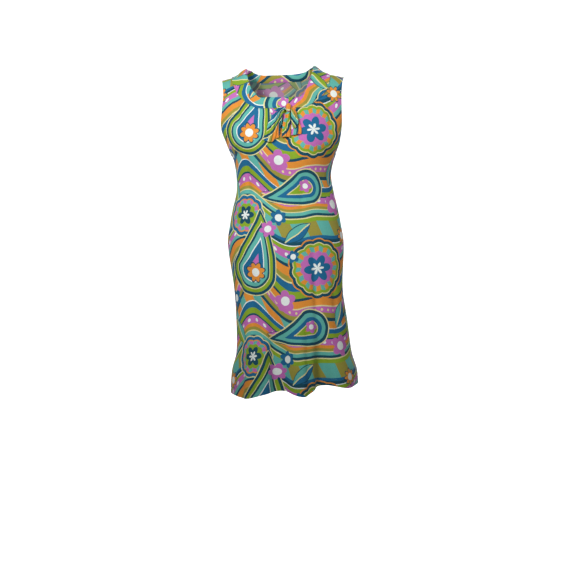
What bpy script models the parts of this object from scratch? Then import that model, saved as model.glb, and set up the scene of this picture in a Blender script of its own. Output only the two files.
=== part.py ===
"""Shift dress: sleeveless, with a wide roll collar, a limp tie bow and a wavy knee-length hem.

Frame: metres, +Z up, +X to the dress's own left side, the front faces -Y. The origin lies midway
between the shoulders, at the height of the shoulder tips, where the wearer holds the dress up.

The dress is an empty shell of cloth. Below the underarm it follows level sections, read from a
table. Above it, the front and the back climb to the shoulder seams. Every piece is a closed wall:
a grid of points on its outer face, the same grid moved inwards, and a rim between the two. The
collar and the bow are made from the points of the panels, moved out.
"""

import math
from collections import namedtuple

import bmesh
import bpy
from mathutils import Vector

# ---------------------------------------------------------------------------------------------
# Driving dimensions, metres
# ---------------------------------------------------------------------------------------------

CLOTH = 0.0018  # thickness of a panel's wall
SEAM_GAP = 0.0003  # between two pieces at a seam

SKIRT_ROWS = 17  # rows of faces from the hem to the underarm
CHEST_ROWS = 13  # rows of faces from the underarm to the shoulder and the neckline
CHEST_SPACING = 1.35  # more than 1 packs those rows closer at the underarm
SHOULDER_COLUMNS = 5  # columns of faces on each shoulder seam
NECK_COLUMNS = 26  # columns of faces on the neckline of a panel
PANEL_COLUMNS = NECK_COLUMNS + 2 * SHOULDER_COLUMNS
HIP_HEIGHT = -0.55  # where the columns are spaced evenly
FINE_STEPS = 240  # steps that measure a section's length
NECK_STEPS = 15  # steps of the neckline's curve between two points of its table

# A panel's wall is parted into these hoops of cloth, each between two of its rows.
PANEL_PARTS = (("hem", 0, 6), ("hips", 6, 12), ("waist", 12, 17), ("chest", 17, 30))

# Level sections, from the hem up. front and back are depths from the side seam's plane, and power
# is that of the superellipse, where 2 is an ellipse.
Section = namedtuple("Section", "z left right front back power")
SECTIONS = (
    Section(-0.985, -0.167, 0.222, 0.150, 0.141, 2.10),
    Section(-0.930, -0.166, 0.225, 0.147, 0.138, 2.10),
    Section(-0.893, -0.162, 0.221, 0.143, 0.135, 2.10),
    Section(-0.845, -0.150, 0.206, 0.137, 0.131, 2.10),
    Section(-0.745, -0.150, 0.192, 0.128, 0.128, 2.10),
    Section(-0.645, -0.157, 0.178, 0.120, 0.128, 2.15),
    Section(-0.510, -0.176, 0.181, 0.116, 0.124, 2.20),
    Section(-0.450, -0.169, 0.172, 0.112, 0.114, 2.20),
    Section(-0.400, -0.160, 0.162, 0.109, 0.105, 2.20),
    Section(-0.350, -0.149, 0.150, 0.110, 0.098, 2.20),
    Section(-0.300, -0.150, 0.142, 0.118, 0.096, 2.20),
    Section(-0.262, -0.156, 0.148, 0.126, 0.099, 2.20),
    Section(-0.236, -0.165, 0.157, 0.128, 0.101, 2.20),
)

# Height of the hem. across runs from -1 at the left side seam to 1 at the right one.
HemPoint = namedtuple("HemPoint", "across z")
HEM = {
    "front": (
        HemPoint(-1.00, -0.968),
        HemPoint(-0.72, -0.979),
        HemPoint(-0.45, -0.966),
        HemPoint(-0.20, -0.954),
        HemPoint(0.14, -0.970),
        HemPoint(0.46, -0.939),
        HemPoint(0.80, -0.948),
        HemPoint(1.00, -0.938),
    ),
    "back": (
        HemPoint(-1.00, -0.968),
        HemPoint(-0.62, -0.974),
        HemPoint(-0.25, -0.955),
        HemPoint(0.12, -0.964),
        HemPoint(0.45, -0.944),
        HemPoint(0.78, -0.950),
        HemPoint(1.00, -0.938),
    ),
}

# Soft folds that deepen from their top down to the hem. out is how far the crest stands out at
# the hem, and less than nothing for a trough.
Fold = namedtuple("Fold", "across out width top")
FOLDS = {
    "front": (
        Fold(-0.68, 0.013, 0.22, -0.62),
        Fold(-0.24, -0.017, 0.19, -0.58),
        Fold(0.14, 0.014, 0.17, -0.64),
        Fold(0.47, -0.017, 0.14, -0.70),
        Fold(0.80, 0.012, 0.12, -0.74),
    ),
    "back": (
        Fold(-0.60, 0.014, 0.20, -0.60),
        Fold(-0.26, -0.016, 0.17, -0.64),
        Fold(0.10, 0.015, 0.18, -0.58),
        Fold(0.46, -0.016, 0.15, -0.68),
        Fold(0.76, 0.011, 0.13, -0.72),
    ),
}

# Underarm points of the side seams.
UNDERARM_LEFT = Vector((-0.165, 0.0, -0.241))
UNDERARM_RIGHT = Vector((0.157, 0.0, -0.231))

# The shoulder line, from tip to tip. Across the neck it is only a guide.
RidgePoint = namedtuple("RidgePoint", "x z")
RIDGE = (
    RidgePoint(-0.194, -0.009),
    RidgePoint(-0.128, 0.006),
    RidgePoint(-0.015, 0.024),
    RidgePoint(0.098, 0.016),
    RidgePoint(0.182, 0.001),
)
NECK_LEFT = -0.128
NECK_RIGHT = 0.098

# The armholes. climb runs from 0 at the underarm to 1 at the shoulder tip, and front and back are
# the depths of the armhole's two edges.
ArmholePoint = namedtuple("ArmholePoint", "climb left right front back")
ARMHOLE = (
    ArmholePoint(0.00, -0.165, 0.157, 0.000, 0.000),
    ArmholePoint(0.02, -0.168, 0.160, 0.017, 0.015),
    ArmholePoint(0.08, -0.177, 0.167, 0.036, 0.031),
    ArmholePoint(0.22, -0.194, 0.173, 0.056, 0.047),
    ArmholePoint(0.38, -0.192, 0.172, 0.062, 0.052),
    ArmholePoint(0.55, -0.188, 0.172, 0.057, 0.048),
    ArmholePoint(0.75, -0.191, 0.176, 0.038, 0.032),
    ArmholePoint(1.00, -0.194, 0.182, 0.000, 0.000),
)
CHEST_POWER = 2.5  # how square the chest's sections are, above the underarm
CHEST_EDGE = 1.15  # how steeply they turn in towards the armholes, 1 is least
CHEST_START = 0.3  # the climb from which both hold in full

# The seam of the neckline, as a drop below the shoulder line.
NeckPoint = namedtuple("NeckPoint", "x drop")
NECKLINE = {
    "front": (
        NeckPoint(NECK_LEFT, 0.000),
        NeckPoint(-0.124, 0.024),
        NeckPoint(-0.117, 0.047),
        NeckPoint(-0.107, 0.071),
        NeckPoint(-0.091, 0.092),
        NeckPoint(-0.068, 0.106),
        NeckPoint(-0.010, 0.113),
        NeckPoint(0.042, 0.110),
        NeckPoint(0.062, 0.098),
        NeckPoint(0.075, 0.072),
        NeckPoint(0.083, 0.047),
        NeckPoint(0.091, 0.023),
        NeckPoint(NECK_RIGHT, 0.000),
    ),
    "back": (
        NeckPoint(NECK_LEFT, 0.000),
        NeckPoint(-0.108, 0.015),
        NeckPoint(-0.070, 0.027),
        NeckPoint(-0.015, 0.031),
        NeckPoint(0.040, 0.027),
        NeckPoint(0.078, 0.015),
        NeckPoint(NECK_RIGHT, 0.000),
    ),
}

# The bust, a soft mound on each side of the front.
Mound = namedtuple("Mound", "x z out half_width half_height")
BUST = (
    Mound(-0.083, -0.228, 0.012, 0.052, 0.080),
    Mound(0.073, -0.224, 0.012, 0.052, 0.080),
)

BUST_SPREAD = 2.0  # how soon the mounds fade in from the side seams

# The collar, a folded band. turn runs from 0 at the centre front over 90 at the left shoulder and
# 180 at the centre back to 360. The band rises from the seam, stands off by lean at its peak, and
# falls over the seam onto the panel.
CollarPoint = namedtuple("CollarPoint", "turn rise lean fall")
COLLAR = (
    CollarPoint(0, 0.0125, 0.0050, 0.020),
    CollarPoint(35, 0.0130, 0.0060, 0.023),
    CollarPoint(60, 0.0120, 0.0095, 0.034),
    CollarPoint(90, 0.0125, 0.0160, 0.036),
    CollarPoint(135, 0.0180, 0.0130, 0.028),
    CollarPoint(180, 0.0200, 0.0100, 0.026),
    CollarPoint(225, 0.0180, 0.0130, 0.026),
    CollarPoint(270, 0.0125, 0.0165, 0.028),
    CollarPoint(300, 0.0115, 0.0095, 0.036),
    CollarPoint(325, 0.0125, 0.0060, 0.025),
    CollarPoint(360, 0.0125, 0.0050, 0.020),
)
# The band's section. along is a share of the rise, or below 0 of the fall, lean a share of the
# lean, settle how far it has come down to the panel, and ease a little extra roundness.
ProfilePoint = namedtuple("ProfilePoint", "along lean settle ease")
COLLAR_PROFILE = (
    ProfilePoint(0.45, 0.10, 0.00, -0.0004),
    ProfilePoint(0.85, 0.45, 0.00, 0.0000),
    ProfilePoint(1.00, 0.80, 0.00, 0.0008),
    ProfilePoint(0.86, 1.08, 0.00, 0.0012),
    ProfilePoint(0.40, 1.02, 0.00, 0.0014),
    ProfilePoint(-0.15, 0.78, 0.10, 0.0010),
    ProfilePoint(-0.55, 0.40, 0.45, 0.0004),
    ProfilePoint(-1.00, 0.00, 1.00, 0.0000),
)
COLLAR_WALL = 0.0018
COLLAR_CLEARANCE = 0.0009  # between the band's lower edge and the panel under it
COLLAR_END_GAP = 0.0012  # between the band's two ends, under the knot
KNOT_X = 0.0105  # where its ends meet and the knot sits

# The bow. Each strip hangs down the front in rows from its top. lift is its distance from the
# front panel at its edges, and crown how much more its middle stands off.
StripRow = namedtuple("StripRow", "z left right lift crown")
STRIPS = {
    "bow_tail_left": (
        StripRow(-0.1075, -0.0175, 0.0022, 0.0095, 0.0030),
        StripRow(-0.1200, -0.0340, -0.0045, 0.0085, 0.0060),
        StripRow(-0.1435, -0.0430, -0.0085, 0.0060, 0.0075),
        StripRow(-0.1600, -0.0520, -0.0110, 0.0045, 0.0075),
        StripRow(-0.1780, -0.0545, -0.0140, 0.0040, 0.0070),
        StripRow(-0.1960, -0.0620, -0.0160, 0.0035, 0.0060),
        StripRow(-0.2080, -0.0675, -0.0185, 0.0035, 0.0050),
    ),
    "bow_tail_centre": (
        StripRow(-0.1214, 0.0060, 0.0150, 0.0056, 0.0008),
        StripRow(-0.1320, -0.0020, 0.0150, 0.0062, 0.0045),
        StripRow(-0.1500, -0.0055, 0.0160, 0.0060, 0.0060),
        StripRow(-0.1750, -0.0080, 0.0170, 0.0045, 0.0060),
        StripRow(-0.1985, -0.0105, 0.0160, 0.0040, 0.0055),
    ),
    "bow_loop_right": (
        StripRow(-0.1085, 0.0188, 0.0265, 0.0100, 0.0030),
        StripRow(-0.1200, 0.0185, 0.0325, 0.0120, 0.0050),
        StripRow(-0.1350, 0.0180, 0.0370, 0.0115, 0.0060),
        StripRow(-0.1500, 0.0190, 0.0400, 0.0105, 0.0060),
        StripRow(-0.1620, 0.0215, 0.0385, 0.0100, 0.0050),
        StripRow(-0.1700, 0.0240, 0.0340, 0.0100, 0.0030),
    ),
    "bow_tail_right": (
        StripRow(-0.1120, 0.0184, 0.0320, 0.0060, 0.0020),
        StripRow(-0.1350, 0.0195, 0.0385, 0.0045, 0.0030),
        StripRow(-0.1560, 0.0190, 0.0435, 0.0035, 0.0030),
        StripRow(-0.1720, 0.0188, 0.0490, 0.0030, 0.0040),
        StripRow(-0.1900, 0.0185, 0.0485, 0.0030, 0.0050),
    ),
}
STRIP_WALL = 0.0020
STRIP_COLUMNS = 6
STRIP_ROWS = 9

KNOT_CENTRE = Vector((KNOT_X, 0.0, -0.1080))  # its depth is found on the front
KNOT_LIFT = 0.0105  # of its centre from the front
KNOT_RADII = Vector((0.0090, 0.0085, 0.0130))
KNOT_WAIST = 0.12  # how much it is drawn in at the middle of its height
KNOT_SEGMENTS = 14
KNOT_RINGS = 9

# ---------------------------------------------------------------------------------------------
# Reading the tables
# ---------------------------------------------------------------------------------------------


def clamp(value, low=0.0, high=1.0):
    return max(low, min(high, value))


def ease(value):
    """0 below 0, 1 above 1 and a smooth step between."""
    share = clamp(value)
    return share * share * (3 - 2 * share)


def mix(first, second, share):
    return first + (second - first) * share


def read(rows, column, at):
    """Smooth value of a table's column, where its first column is at. Flat past the ends."""
    keys = [row[0] for row in rows]
    values = [getattr(row, column) for row in rows]
    if at <= keys[0]:
        return values[0]
    if at >= keys[-1]:
        return values[-1]
    index = max(i for i, key in enumerate(keys) if key <= at)
    span = keys[index + 1] - keys[index]

    def slope(i):
        before = max(i - 1, 0)
        after = min(i + 1, len(keys) - 1)
        return (values[after] - values[before]) / (keys[after] - keys[before])

    t = (at - keys[index]) / span
    return (
        values[index] * (1 + 2 * t) * (1 - t) ** 2
        + slope(index) * span * t * (1 - t) ** 2
        + values[index + 1] * t * t * (3 - 2 * t)
        + slope(index + 1) * span * t * t * (t - 1)
    )


def read_row(rows, at):
    """Every column of a table at once, as a row of the same kind."""
    names = rows[0]._fields
    return type(rows[0])(at, *(read(rows, name, at) for name in names[1:]))


def even_points(points, count):
    """Points spaced evenly along a polyline, count of them with both ends."""
    lengths = [0.0]
    for first, second in zip(points, points[1:]):
        lengths.append(lengths[-1] + (second - first).length)
    result = []
    index = 0
    for number in range(count):
        wanted = lengths[-1] * number / (count - 1)
        while index < len(points) - 2 and lengths[index + 1] < wanted:
            index += 1
        share = (wanted - lengths[index]) / (lengths[index + 1] - lengths[index])
        result.append(points[index].lerp(points[index + 1], clamp(share)))
    return result


# ---------------------------------------------------------------------------------------------
# The surface of the dress
# ---------------------------------------------------------------------------------------------

OUTWARD = {"front": -1.0, "back": 1.0}  # sign of a panel's outward direction along Y


def underarm_height(x):
    share = (x - UNDERARM_LEFT.x) / (UNDERARM_RIGHT.x - UNDERARM_LEFT.x)
    return mix(UNDERARM_LEFT.z, UNDERARM_RIGHT.z, share)


def ridge_height(x):
    return read(RIDGE, "z", x)


def bust_mound(x, z):
    """How far the bust pushes the front out at a place."""
    return sum(
        mound.out * math.exp(-(((x - mound.x) / mound.half_width) ** 2)
                             - ((z - mound.z) / mound.half_height) ** 2)
        for mound in BUST
    )


def fold_out(side, across, z):
    """How far the folds of the skirt push the cloth out at a place."""
    total = 0.0
    for fold in FOLDS[side]:
        hem = read(HEM[side], "z", fold.across)
        growth = ease((fold.top - z) / (fold.top - hem))
        total += fold.out * growth * math.exp(-(((across - fold.across) / fold.width) ** 2))
    return total * (1 - abs(across) ** 6)


def skirt_point(side, angle, share):
    """Point of a panel below the underarm. angle runs from pi at the left side seam to 0 at the
    right one, and share from 0 at the hem to 1 at the underarm."""
    spread = math.cos(angle)
    hem = read(HEM[side], "z", spread)
    top = mix(UNDERARM_LEFT.z, UNDERARM_RIGHT.z, (spread + 1) / 2)
    z = mix(hem, top, share)
    section = read_row(SECTIONS, z)
    across = math.copysign(abs(spread) ** (2 / section.power), spread)
    bulge = abs(math.sin(angle)) ** (2 / section.power)
    half_width = (section.right - section.left) / 2
    depth = getattr(section, side)
    x = (section.left + section.right) / 2 + half_width * across
    y = depth * bulge
    push = fold_out(side, across, z)
    way = Vector((across * depth, bulge * half_width)).normalized()
    if side == "front":
        y += bust_mound(x, z) * ease(bulge * BUST_SPREAD)
    return Vector((x + push * way.x, OUTWARD[side] * (SEAM_GAP / 2 + y + push * way.y), z))


def chest_point(side, across, climb):
    """Point of a panel above the underarm. across runs from -1 at the left armhole to 1 at the
    right one, and climb from 0 at the underarm to 1 at the shoulder line."""
    edge = read_row(ARMHOLE, climb)
    x = mix(edge.left, edge.right, (across + 1) / 2)
    z = mix(underarm_height(x), ridge_height(x), math.sin(climb * math.pi / 2))
    base = SECTIONS[-1]
    middle = getattr(base, side) * math.cos(climb * math.pi / 2)
    shoulder = ease(climb / CHEST_START)
    power = mix(base.power, CHEST_POWER, shoulder)
    root = mix(base.power, CHEST_EDGE, shoulder)
    arch = (1 - min(1.0, abs(across)) ** power) ** (1 / root)
    armhole = getattr(edge, side)
    y = armhole + (middle - armhole) * arch
    if side == "front":
        y += bust_mound(x, z) * ease(arch * BUST_SPREAD)
    return Vector((x, OUTWARD[side] * (SEAM_GAP / 2 + y), z))


def chest_place(x, z):
    """The across and climb of a place above the underarm."""
    low = underarm_height(x)
    rise = clamp((z - low) / (ridge_height(x) - low))
    climb = math.asin(rise) * 2 / math.pi
    edge = read_row(ARMHOLE, climb)
    return (2 * x - edge.left - edge.right) / (edge.right - edge.left), climb


def chest_frame(side, place):
    """Point of a panel at a place above the underarm, how it moves with across and with climb,
    and the outward normal there."""
    step = 0.002
    across, climb = place
    low = clamp(climb - step)
    high = clamp(climb + step)
    point = chest_point(side, across, climb)
    before = chest_point(side, across - step, climb)
    along = chest_point(side, across + step, climb) - before
    up = chest_point(side, across, high) - chest_point(side, across, low)
    normal = along.cross(up).normalized() * -OUTWARD[side]
    return point, along / (2 * step), up / (high - low), normal


def column_angles(columns):
    """Angles of a panel's columns, spaced evenly round its section at the hip."""
    hip = read_row(SECTIONS, HIP_HEIGHT)
    half_width = (hip.right - hip.left) / 2
    fine = []
    for number in range(FINE_STEPS + 1):
        angle = math.pi * (1 - number / FINE_STEPS)
        across = math.copysign(abs(math.cos(angle)) ** (2 / hip.power), math.cos(angle))
        bulge = math.sin(angle) ** (2 / hip.power)
        fine.append(Vector((half_width * across, hip.front * bulge, angle)))
    lengths = [0.0]
    for first, second in zip(fine, fine[1:]):
        lengths.append(lengths[-1] + (second - first).xy.length)
    angles = []
    index = 0
    for number in range(columns + 1):
        wanted = lengths[-1] * number / columns
        while index < FINE_STEPS - 1 and lengths[index + 1] < wanted:
            index += 1
        share = (wanted - lengths[index]) / (lengths[index + 1] - lengths[index])
        angles.append(mix(fine[index].z, fine[index + 1].z, share))
    return angles


def spline_points(points, steps):
    """Points of a smooth curve through some points, steps of them for each stretch."""
    curve = []
    for index in range(len(points) - 1):
        before = points[max(index - 1, 0)]
        start = points[index]
        end = points[index + 1]
        after = points[min(index + 2, len(points) - 1)]
        for number in range(steps):
            t = number / steps
            curve.append(0.5 * (
                2 * start
                + (end - before) * t
                + (2 * before - 5 * start + 4 * end - after) * t * t
                + (3 * start - before - 3 * end + after) * t ** 3
            ))
    return curve + [points[-1]]


def neckline_places(side, columns):
    """Places (across, climb) along a panel's neckline, spaced evenly, from left to right."""
    line = []
    for point in spline_points([Vector(row) for row in NECKLINE[side]], NECK_STEPS):
        across, climb = chest_place(point.x, ridge_height(point.x) - max(point.y, 0.0))
        line.append(chest_point(side, across, climb))
    places = [chest_place(point.x, point.z) for point in even_points(line, columns + 1)]
    places[0] = (chest_place(NECK_LEFT, ridge_height(NECK_LEFT))[0], 1.0)
    places[-1] = (chest_place(NECK_RIGHT, ridge_height(NECK_RIGHT))[0], 1.0)
    return places


def top_places(side):
    """Places (across, climb) along a panel's whole top edge: shoulder, neckline, shoulder."""
    neckline = neckline_places(side, NECK_COLUMNS)
    places = [
        (mix(-1.0, neckline[0][0], number / SHOULDER_COLUMNS), 1.0)
        for number in range(SHOULDER_COLUMNS)
    ]
    places += neckline
    places += [
        (mix(neckline[-1][0], 1.0, (number + 1) / SHOULDER_COLUMNS), 1.0)
        for number in range(SHOULDER_COLUMNS)
    ]
    return places


def panel_grid(side):
    """Rows of points on a panel's outer face, from the hem up."""
    angles = column_angles(PANEL_COLUMNS)
    grid = [
        [skirt_point(side, angle, row / SKIRT_ROWS) for angle in angles]
        for row in range(SKIRT_ROWS + 1)
    ]
    power = SECTIONS[-1].power
    starts = [math.copysign(abs(math.cos(a)) ** (2 / power), math.cos(a)) for a in angles]
    tops = top_places(side)
    for row in range(1, CHEST_ROWS + 1):
        share = (row / CHEST_ROWS) ** CHEST_SPACING
        grid.append([
            chest_point(side, mix(start, top[0], ease(share)), top[1] * share)
            for start, top in zip(starts, tops)
        ])
    return grid


# ---------------------------------------------------------------------------------------------
# Walls
# ---------------------------------------------------------------------------------------------


def grid_normals(grid, sign):
    """Unit normals of a grid of points, where sign picks the side."""
    rows = len(grid)
    columns = len(grid[0])
    normals = []
    for r in range(rows):
        line = []
        for c in range(columns):
            along = grid[r][min(c + 1, columns - 1)] - grid[r][max(c - 1, 0)]
            up = grid[min(r + 1, rows - 1)][c] - grid[max(r - 1, 0)][c]
            line.append(along.cross(up).normalized() * sign)
        normals.append(line)
    return normals


def offset_grid(grid, normals, distance):
    return [
        [point + normal * distance for point, normal in zip(points, line)]
        for points, line in zip(grid, normals)
    ]


def parted_rows(grid, low, high):
    """The rows of a grid from low to high. An end that isn't the grid's own is moved in a little, so
    that two walls that meet there stay apart."""
    rows = [list(line) for line in grid[low:high + 1]]
    for end, beside, parted in ((0, 1, low > 0), (-1, -2, high < len(grid) - 1)):
        if parted:
            rows[end] = [
                point + (near - point).normalized() * (SEAM_GAP / 2)
                for point, near in zip(rows[end], rows[beside])
            ]
    return rows


def wall_object(name, outer, inner, material):
    """Closed wall between two grids of the same size, with a rim round it."""
    rows = len(outer)
    columns = len(outer[0])
    model = bmesh.new()
    faces = []
    for grid in (outer, inner):
        faces.append([[model.verts.new(point) for point in line] for line in grid])
    front, back = faces
    for r in range(rows - 1):
        for c in range(columns - 1):
            model.faces.new((front[r][c], front[r][c + 1], front[r + 1][c + 1], front[r + 1][c]))
            model.faces.new((back[r][c], back[r + 1][c], back[r + 1][c + 1], back[r][c + 1]))
    rim = [(0, c) for c in range(columns)]
    rim += [(r, columns - 1) for r in range(1, rows)]
    rim += [(rows - 1, c) for c in range(columns - 2, -1, -1)]
    rim += [(r, 0) for r in range(rows - 2, 0, -1)]
    for (r, c), (next_r, next_c) in zip(rim, rim[1:] + rim[:1]):
        model.faces.new((front[r][c], back[r][c], back[next_r][next_c], front[next_r][next_c]))
    return mesh_object(name, model, material)


def mesh_object(name, model, material):
    """Object of a finished bmesh, with its faces turned out."""
    bmesh.ops.recalc_face_normals(model, faces=model.faces)
    mesh = bpy.data.meshes.new(name)
    model.to_mesh(mesh)
    model.free()
    mesh.materials.append(material)
    mesh.shade_smooth()
    mesh.set_sharp_from_angle(angle=math.radians(40))
    piece = bpy.data.objects.new(name, mesh)
    bpy.context.scene.collection.objects.link(piece)
    return piece


def fabric(name, colour, roughness):
    """Plain cloth finish of one main colour."""
    material = bpy.data.materials.new(name)
    material.use_nodes = True
    shader = material.node_tree.nodes["Principled BSDF"]
    shader.inputs["Base Color"].default_value = (*colour, 1.0)
    shader.inputs["Roughness"].default_value = roughness
    shader.inputs["Metallic"].default_value = 0.0
    return material


# ---------------------------------------------------------------------------------------------
# Pieces
# ---------------------------------------------------------------------------------------------


def make_panel(side, material):
    """Hoops of the front or the back. Where it meets the other panel, its rim is square to the
    seam."""
    grid = panel_grid(side)
    normals = grid_normals(grid, -OUTWARD[side])
    last = len(grid) - 1
    seam = [(r, c) for r in range(SKIRT_ROWS + 1) for c in (0, PANEL_COLUMNS)]
    seam += [
        (last, c)
        for c in range(PANEL_COLUMNS + 1)
        if c <= SHOULDER_COLUMNS or c >= PANEL_COLUMNS - SHOULDER_COLUMNS
    ]
    for r, c in seam:
        normals[r][c] = Vector((normals[r][c].x, 0.0, normals[r][c].z)).normalized()
    for c, place in enumerate(neckline_places(side, NECK_COLUMNS)[1:-1], SHOULDER_COLUMNS + 1):
        normals[last][c] = chest_frame(side, place)[3]
    inner = offset_grid(grid, normals, -CLOTH)
    for part, low, high in PANEL_PARTS:
        name = f"{side}_panel_{part}"
        wall_object(name, parted_rows(grid, low, high), parted_rows(inner, low, high), material)


class NeckStation:
    """A place on the neckline's seam, with the directions that the collar is built from."""

    def __init__(self, side, place, turn):
        self.side = side
        self.place = place
        self.turn = turn
        self.point, _, _, self.normal = chest_frame(side, place)

    def settle(self, before, after):
        """Set the direction across the seam, towards the neck, from the neighbours' points."""
        seam = (after - before).normalized()
        self.inward = seam.cross(self.normal).normalized()
        centre = Vector(((NECK_LEFT + NECK_RIGHT) / 2, 0.0, 0.0))
        if self.inward.dot(centre - self.point) < 0:
            self.inward.negate()

    def below(self, distance, lift):
        """Point on the panel at a distance out from the seam, moved off the panel by lift."""
        steps = 6
        place = self.place
        way = -self.inward
        for _ in range(steps):
            _, along, up, normal = chest_frame(self.side, place)
            way = (way - normal * way.dot(normal)).normalized()
            aa, ab, bb = along.dot(along), along.dot(up), up.dot(up)
            a, b = way.dot(along), way.dot(up)
            scale = distance / steps / (aa * bb - ab * ab)
            across = place[0] + (a * bb - b * ab) * scale
            climb = min(1.0, place[1] + (b * aa - a * ab) * scale)
            place = (across, climb)
        point, _, _, normal = chest_frame(self.side, place)
        return point + normal * lift

    def above(self, rise, lean):
        """Point at a distance in from the seam, over the neck, moved out by lean."""
        return self.point + self.inward * rise + self.normal * lean


def neck_stations():
    """Stations round the neckline, from the knot over the left shoulder, the back and the right
    shoulder to the knot again. They lie on the columns of the panels."""
    front = neckline_places("front", NECK_COLUMNS)
    back = neckline_places("back", NECK_COLUMNS)
    xs = [chest_point("front", *place).x for place in front]
    knot = min(range(len(xs)), key=lambda i: abs(xs[i] - KNOT_X))
    shift = COLLAR_END_GAP / (ARMHOLE[-1].right - ARMHOLE[-1].left)
    left = [(front[knot][0] - shift, front[knot][1])] + front[knot - 1::-1]
    right = front[:knot:-1] + [(front[knot][0] + shift, front[knot][1])]
    places = [("front", place) for place in left]
    places += [("back", place) for place in back[1:-1]]
    places += [("front", place) for place in right]
    stations = []
    for index, (side, place) in enumerate(places):
        if index < len(left):
            turn = 90 * index / (len(left) - 1)
        elif index < len(places) - len(right):
            turn = 90 + 180 * (index - len(left) + 1) / NECK_COLUMNS
        else:
            turn = 360 - 90 * (len(places) - 1 - index) / (len(right) - 1)
        stations.append(NeckStation(side, place, turn))
    for index, station in enumerate(stations):
        before = stations[max(index - 1, 0)].point
        after = stations[min(index + 1, len(stations) - 1)].point
        station.settle(before, after)
    return stations


def collar_path(row):
    """Middle line of the folded band, as (distance in from the seam, lift off the panel)."""
    low = COLLAR_CLEARANCE + COLLAR_WALL / 2
    path = [Vector((SEAM_GAP, -CLOTH / 2))]
    for point in COLLAR_PROFILE:
        reach = row.rise if point.along > 0 else row.fall
        lift = mix(row.lean * point.lean, low, point.settle) + point.ease
        path.append(Vector((reach * point.along, lift)))
    return path


def make_collar(material):
    """Folded roll band round the neckline, open under the knot."""
    stations = neck_stations()
    outer = []
    inner = []
    for station in stations:
        path = collar_path(read_row(COLLAR, station.turn))
        lines = ([], [])
        for index, point in enumerate(path):
            along = path[min(index + 1, len(path) - 1)] - path[max(index - 1, 0)]
            side = Vector((along.y, -along.x)).normalized() * (COLLAR_WALL / 2)
            for line, sign in zip(lines, (1, -1)):
                place = point + side * sign
                if index == 0:
                    place.x = SEAM_GAP
                if place.x >= 0:
                    line.append(station.above(place.x, place.y))
                else:
                    line.append(station.below(-place.x, place.y))
        outer.append(lines[0])
        inner.append(lines[1])
    return wall_object("collar", outer, inner, material)


def front_lift(x, z, lift):
    """Point over the front panel, moved off it by lift."""
    return Vector((x, chest_point("front", *chest_place(x, z)).y - lift, z))


def make_strip(name, rows, material):
    """One hanging strip of the bow, with a crowned section."""
    bottom_up = tuple(sorted(rows))
    outer = []
    inner = []
    for r in range(STRIP_ROWS + 1):
        row = read_row(bottom_up, mix(bottom_up[0].z, bottom_up[-1].z, r / STRIP_ROWS))
        lines = ([], [])
        for c in range(STRIP_COLUMNS + 1):
            share = c / STRIP_COLUMNS
            x = mix(row.left, row.right, share)
            lift = row.lift + row.crown * math.sin(math.pi * share)
            lines[0].append(front_lift(x, row.z, lift + STRIP_WALL))
            lines[1].append(front_lift(x, row.z, lift))
        outer.append(lines[0])
        inner.append(lines[1])
    return wall_object(name, outer, inner, material)


def make_knot(material):
    """Rounded knot, drawn in a little round its middle."""
    model = bmesh.new()
    bmesh.ops.create_uvsphere(model, u_segments=KNOT_SEGMENTS, v_segments=KNOT_RINGS, radius=1.0)
    centre = front_lift(KNOT_CENTRE.x, KNOT_CENTRE.z, KNOT_LIFT)
    for vert in model.verts:
        waist = 1 - KNOT_WAIST * math.cos(vert.co.z * math.pi / 2) ** 2
        shape = Vector((vert.co.x * waist, vert.co.y * waist, vert.co.z))
        vert.co = centre + shape * KNOT_RADII
    return mesh_object("bow_knot", model, material)


def clear_scene():
    for item in list(bpy.data.objects):
        bpy.data.objects.remove(item, do_unlink=True)


def main():
    clear_scene()
    jersey = fabric("printed_jersey", (0.30, 0.42, 0.22), 0.62)
    collar_jersey = fabric("collar_jersey", (0.16, 0.40, 0.42), 0.62)
    bow_jersey = fabric("bow_jersey", (0.75, 0.38, 0.10), 0.62)
    for side in OUTWARD:
        make_panel(side, jersey)
    make_collar(collar_jersey)
    make_knot(bow_jersey)
    for name, rows in STRIPS.items():
        make_strip(name, rows, bow_jersey)


main()
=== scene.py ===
"""Shift dress in printed jersey: sleeveless, with a roll collar, a limp tie bow and a wavy hem.

Frame: metres, +Z up, +X to the wearer's left, the front faces -Y. Left and right are as seen from
the front, save where a name says an arm, which is the wearer's. Every piece of cloth but the knot is
a thin closed sheet on the form of its frame solid, with its creases laid one by one.
"""

import logging
import math
from dataclasses import dataclass, field
from enum import Enum
from typing import Sequence

import bmesh
import bpy
import mathutils
import numpy as np
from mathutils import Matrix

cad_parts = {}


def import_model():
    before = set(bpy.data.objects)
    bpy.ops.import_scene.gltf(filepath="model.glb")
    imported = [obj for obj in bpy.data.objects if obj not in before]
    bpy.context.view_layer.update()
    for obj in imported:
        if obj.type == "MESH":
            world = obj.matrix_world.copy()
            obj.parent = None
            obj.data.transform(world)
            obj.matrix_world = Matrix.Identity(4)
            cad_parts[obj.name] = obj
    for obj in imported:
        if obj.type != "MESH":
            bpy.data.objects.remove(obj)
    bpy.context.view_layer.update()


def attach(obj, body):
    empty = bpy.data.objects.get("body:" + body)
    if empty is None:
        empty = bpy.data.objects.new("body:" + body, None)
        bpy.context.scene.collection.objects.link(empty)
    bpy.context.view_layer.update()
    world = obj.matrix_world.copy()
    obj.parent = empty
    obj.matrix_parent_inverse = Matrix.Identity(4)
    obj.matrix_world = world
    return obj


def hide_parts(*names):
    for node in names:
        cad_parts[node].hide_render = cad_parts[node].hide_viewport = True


Array = np.ndarray
Colour = tuple[float, float, float]

LOG = logging.getLogger("shift_dress")
TINY = 1e-9
CREASE_RIDGE = 0.55
SHARP_EDGE = math.radians(60)


# ---------------------------------------------------------------------------------------------
# Numbers
# ---------------------------------------------------------------------------------------------


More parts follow.
